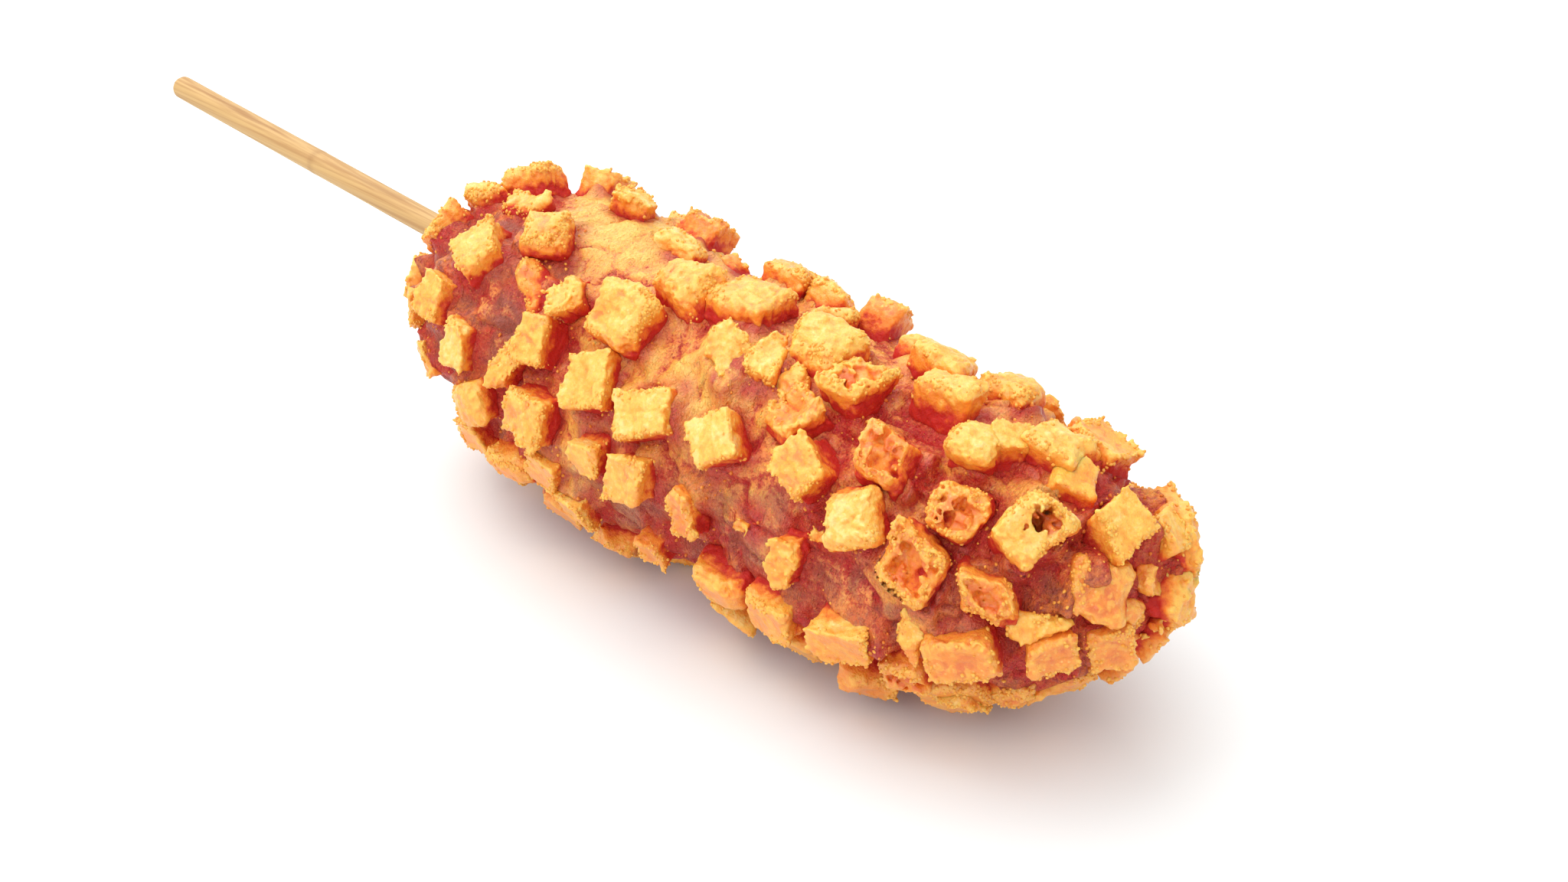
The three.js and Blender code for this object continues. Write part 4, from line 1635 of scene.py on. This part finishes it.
@dataclass
class Crumbs:
    """Fried crumbs that cling where a mesh's own value says so, thickest in some patches.

    Attributes:
        host: the object that they cling to.
        name: the piece's name.
        where: the name of the mesh's value.
        finish: their material.
        density: how many there are on a square metre at the most.
        apart: the least distance between two, in metres.
        smallest, largest: their sizes, in metres.
        seed: which scatter this is.
    """

    host: bpy.types.Object
    name: str
    where: str
    finish: bpy.types.Material
    density: float
    apart: float = 0.00045
    smallest: float = 0.00013
    largest: float = 0.00038
    seed: int = 5

    def grain(self) -> bpy.types.Object:
        """Makes one crumb to be scattered: a jagged little lump, a metre across.

        Returns:
            The crumb, which is removed after use.
        """
        bpy.ops.mesh.primitive_ico_sphere_add(subdivisions=1, radius=1.0)
        grain = bpy.context.object
        points = read_points(grain.data)
        points *= (1 + 0.45 * Noise(31).at(points + 3.0, 0.8))[:, None] * np.array([1.25, 0.95, 0.75])
        grain.data.vertices.foreach_set("co", points.ravel())
        grain.data.shade_smooth()
        return grain

    def tree(self) -> NodeTree:
        """Builds the tree that scatters the crumbs.

        Returns:
            The tree.
        """
        kinds = {"Grain": "Object", "Apart": "Float", "Density": "Float", "Smallest": "Float",
                 "Largest": "Float", "Seed": "Int", "Material": "Material"}
        tree = NodeTree(f"{self.name}_scatter", kinds)
        near = tree.out("GeometryNodeInputNamedAttribute", {"Name": self.where}, data_type="FLOAT")
        patches = tree.out("ShaderNodeTexNoise", {"Scale": 120.0, "Detail": 1.0})
        patchy = tree.out("ShaderNodeMapRange", {0: patches, 1: 0.42, 2: 0.62})
        scatter = tree.out("GeometryNodeDistributePointsOnFaces", {
            "Mesh": tree.start["Geometry"], "Distance Min": tree.start["Apart"],
            "Density Max": tree.start["Density"], "Density Factor": tree.math("MULTIPLY", near, patchy),
            "Seed": tree.start["Seed"]}, distribute_method="POISSON")
        grain = tree.node("GeometryNodeObjectInfo", {"Object": tree.start["Grain"], "As Instance": True})
        turns = tree.out("FunctionNodeRandomValue", {
            "Max": (6.28, 6.28, 6.28), "Seed": 3}, data_type="FLOAT_VECTOR")
        sizes = tree.node("FunctionNodeRandomValue", {
            2: tree.start["Smallest"], 3: tree.start["Largest"], "Seed": 4}, data_type="FLOAT")
        tree.finish(tree.out("GeometryNodeInstanceOnPoints", {
            "Points": scatter, "Instance": grain.outputs["Geometry"], "Rotation": turns,
            "Scale": sizes.outputs[1]}))
        return tree

    def build(self) -> bpy.types.Object:
        """Makes the crumbs.

        Returns:
            All the crumbs as one piece.
        """
        grain = self.grain()
        made = self.tree().result(self.host, self.name, {
            "Grain": grain, "Apart": self.apart, "Density": self.density, "Smallest": self.smallest,
            "Largest": self.largest, "Seed": self.seed, "Material": self.finish})
        bpy.data.objects.remove(grain)
        points = read_points(made.data)
        points[:, 2] = np.maximum(points[:, 2], 0)
        made.data.vertices.foreach_set("co", points.ravel())
        dress(made, self.finish, "potato")
        return made


@dataclass(frozen=True)
class CrumbFinish:
    """Crisp crumbs, gold to brown from one to the next."""

    name: str
    gold: Colour = (0.94, 0.51, 0.09)
    brown: Colour = (0.88, 0.36, 0.045)

    def material(self) -> bpy.types.Material:
        """Builds the finish.

        Returns:
            The material.
        """
        shader = Shader(self.name)
        share = shader.noise(1.5 * MM, 2.0)
        colour = shader.mix(shader.span(share, 0.38, 0.6), self.gold, self.brown)
        slope = shader.bump(shader.noise(0.2 * MM, 2.0), 0.08 * MM)
        return shader.surface(Base_Color=colour, Roughness=0.5, Normal=slope, Specular_IOR_Level=0.45)


@dataclass
class Stick:
    """The round bamboo stick, from its bare end to where it is hidden in the food.

    Attributes:
        food: the food's frame and outline.
        hidden: how far it goes on inside the food.
        sides, steps: how many points it has round it and along it.
        grooves: depth of the grooves.
        joint_at: the joint's place, as a share of the length.
        joint_rise: how far the joint stands out.
        joint_narrow: how narrow the joint is.
    """

    food: Food
    hidden: float = 30.0
    sides: int = 48
    steps: int = 400
    grooves: float = 0.03
    joint_at: float = 0.40
    joint_rise: float = 0.05
    joint_narrow: float = 130.0

    def tree(self) -> NodeTree:
        """Builds the tree that sweeps a ring along the stick, with grooves and a joint.

        Returns:
            The tree.
        """
        kinds = {"Tip": "Vector", "End": "Vector"}
        kinds |= dict.fromkeys(("Radius", "Rounding", "Grooves", "Joint At", "Joint Rise"), "Float")
        kinds |= {"Sides": "Int", "Steps": "Int", "Material": "Material"}
        tree = NodeTree("bamboo_stick", kinds)
        start = tree.start
        line = tree.out("GeometryNodeCurvePrimitiveLine", {"Start": start["Tip"], "End": start["End"]})
        fine = tree.out("GeometryNodeResampleCurve", {"Curve": line, "Count": start["Steps"]})
        spline = tree.node("GeometryNodeSplineParameter", {}).outputs
        inward = tree.out("ShaderNodeMapRange", {
            0: spline["Length"], 1: 0.0, 2: start["Rounding"], 3: 1.0, 4: 0.0})
        level = tree.math("SQRT", tree.math("SUBTRACT", 1.0, tree.math("POWER", inward, 2.0)))
        lost = tree.math("MULTIPLY", tree.math("SUBTRACT", 1.0, level), start["Rounding"])
        off_joint = tree.math("SUBTRACT", spline["Factor"], start["Joint At"])
        wide = tree.math("MULTIPLY", off_joint, self.joint_narrow)
        bell = tree.math("POWER", 0.37, tree.math("MULTIPLY", wide, wide))
        ring = tree.math("MULTIPLY", bell, start["Joint Rise"])
        radius = tree.math("ADD", tree.math("SUBTRACT", start["Radius"], lost), ring)
        sized = tree.out("GeometryNodeSetCurveRadius", {"Curve": fine, "Radius": radius})
        marked = tree.out("GeometryNodeStoreNamedAttribute", {
            "Geometry": sized, "Name": "scar", "Value": bell}, data_type="FLOAT", domain="POINT")
        circle = tree.out("GeometryNodeCurvePrimitiveCircle", {"Resolution": start["Sides"], "Radius": 1.0})
        swept = tree.out("GeometryNodeCurveToMesh", {
            "Curve": marked, "Profile Curve": circle, "Scale": radius, "Fill Caps": True})
        place = tree.out("GeometryNodeInputPosition", {})
        long_way = tree.out("ShaderNodeVectorMath", {0: place, 1: (25.0, 900.0, 900.0)}, operation="MULTIPLY")
        waves = tree.out("ShaderNodeTexNoise", {"Vector": long_way, "Scale": 1.0, "Detail": 2.0})
        swing = tree.out("ShaderNodeMapRange", {0: waves, 1: 0.3, 2: 0.7, 3: -1.0, 4: 1.0})
        depth = tree.math("MULTIPLY", swing, start["Grooves"])
        normal = tree.out("GeometryNodeInputNormal", {})
        push = tree.out("ShaderNodeVectorMath", {0: normal, "Scale": depth}, operation="SCALE")
        tree.finish(tree.out("GeometryNodeSetPosition", {"Geometry": swept, "Offset": push}))
        return tree

    def build(self) -> bpy.types.Object:
        """Makes the stick.

        Returns:
            The stick.
        """
        finish = BambooFinish("bamboo").material()
        ends = self.food.to_world(np.array([[-self.food.stick_out, 0, 0], [self.hidden, 0, 0]]))
        host = link("stick_host", bpy.data.meshes.new("stick_host"))
        made = self.tree().result(host, "stick_bamboo", {
            "Tip": tuple(ends[0]), "End": tuple(ends[1]), "Radius": self.food.stick_radius * MM,
            "Rounding": self.food.stick_rounding * MM, "Grooves": self.grooves * MM,
            "Joint At": self.joint_at, "Joint Rise": self.joint_rise * MM, "Sides": self.sides,
            "Steps": self.steps, "Material": finish})
        bpy.data.objects.remove(host)
        made.data.shade_smooth()
        dress(made, finish, "stick", "stick")
        return made


# ---------------------------------------------------------------------------- the studio
@dataclass
class Studio:
    """A pale floor, a soft light from above and behind, one from the front, and the camera.

    Attributes:
        eye: where the camera is.
        azimuth, elevation: the way back from what it looks at to the camera.
        lens: its focal length, for a sensor 36 mm wide.
        middle: what the lights are aimed at.
        light_side: the side of each light.
        glow: strength of the light from all round.
        floor_size: side of the floor.
        floor_below: how far the floor lies under the ground, so that nothing runs into it.
    """

    eye: Triple = (0.2496, -0.1907, 0.1842)
    azimuth: float = math.radians(44.9)
    elevation: float = math.radians(30)
    lens: float = 44.09
    middle: Triple = (0.03, 0, 0.02)
    light_side: float = 0.9
    glow: float = 0.8
    floor_size: float = 8.0
    floor_below: float = 0.00005

    def floor(self) -> None:
        """Makes the floor."""
        bpy.ops.mesh.primitive_plane_add(size=self.floor_size, location=(0, 0, -self.floor_below))
        floor = bpy.context.object
        floor.name = "floor"
        floor.data.materials.append(FloorFinish("floor_white").material())

    @staticmethod
    def aim(thing: bpy.types.Object, place: Triple, way: Vector) -> None:
        """Puts a light or a camera in its place.

        Args:
            thing: the light or camera.
            place: where it goes.
            way: the way it looks.
        """
        thing.location = place
        thing.rotation_mode = "QUATERNION"
        thing.rotation_quaternion = way.to_track_quat("-Z", "Y")

    def light(self, name: str, place: Triple, power: float) -> None:
        """Adds a soft light aimed at the food.

        Args:
            name: the light's name.
            place: where it is.
            power: its power.
        """
        data = bpy.data.lights.new(name, "AREA")
        data.size = self.light_side
        data.energy = power
        self.aim(link(name, data), place, Vector(self.middle) - Vector(place))

    def camera(self) -> None:
        """Adds the camera."""
        data = bpy.data.cameras.new("camera")
        data.lens = self.lens
        data.sensor_width = 36.0
        data.clip_start = 0.01
        camera = link("camera", data)
        flat = math.cos(self.elevation)
        back = math.sin(self.azimuth) * flat, -math.cos(self.azimuth) * flat, math.sin(self.elevation)
        self.aim(camera, self.eye, -Vector(back))
        bpy.context.scene.camera = camera

    def build(self) -> None:
        """Sets up the studio."""
        scene = bpy.context.scene
        scene.view_settings.view_transform = "Standard"
        scene.view_settings.look = "None"
        world = bpy.data.worlds.new("studio")
        scene.world = world
        world.use_nodes = True
        background = world.node_tree.nodes["Background"]
        background.inputs["Color"].default_value = (0.98, 0.99, 1.0, 1)
        background.inputs["Strength"].default_value = self.glow
        self.floor()
        self.light("key", (-0.32, 0.06, 0.62), 4.2)
        self.light("fill", (0.15, -0.5, 0.7), 3.65)
        self.camera()


def main() -> None:
    """Builds the corn dog and its studio."""
    logging.basicConfig(level=logging.INFO, format="%(message)s")
    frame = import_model()
    food = Food.from_frame()
    LOG.info("food origin: %s", food.origin)
    Studio().build()
    bits = Potatoes(food, frame["nodes"]).build()
    crust = Crust(food).build(bits)
    crisp = CrumbFinish("crumb_crisp", gold=(0.90, 0.42, 0.06), brown=(0.72, 0.18, 0.02)).material()
    Crumbs(crust, "batter_crumbs", "crumbly", crisp, density=500000.0, apart=0.0009).build()
    Stick(food).build()


if __name__ == "__main__":
    main()
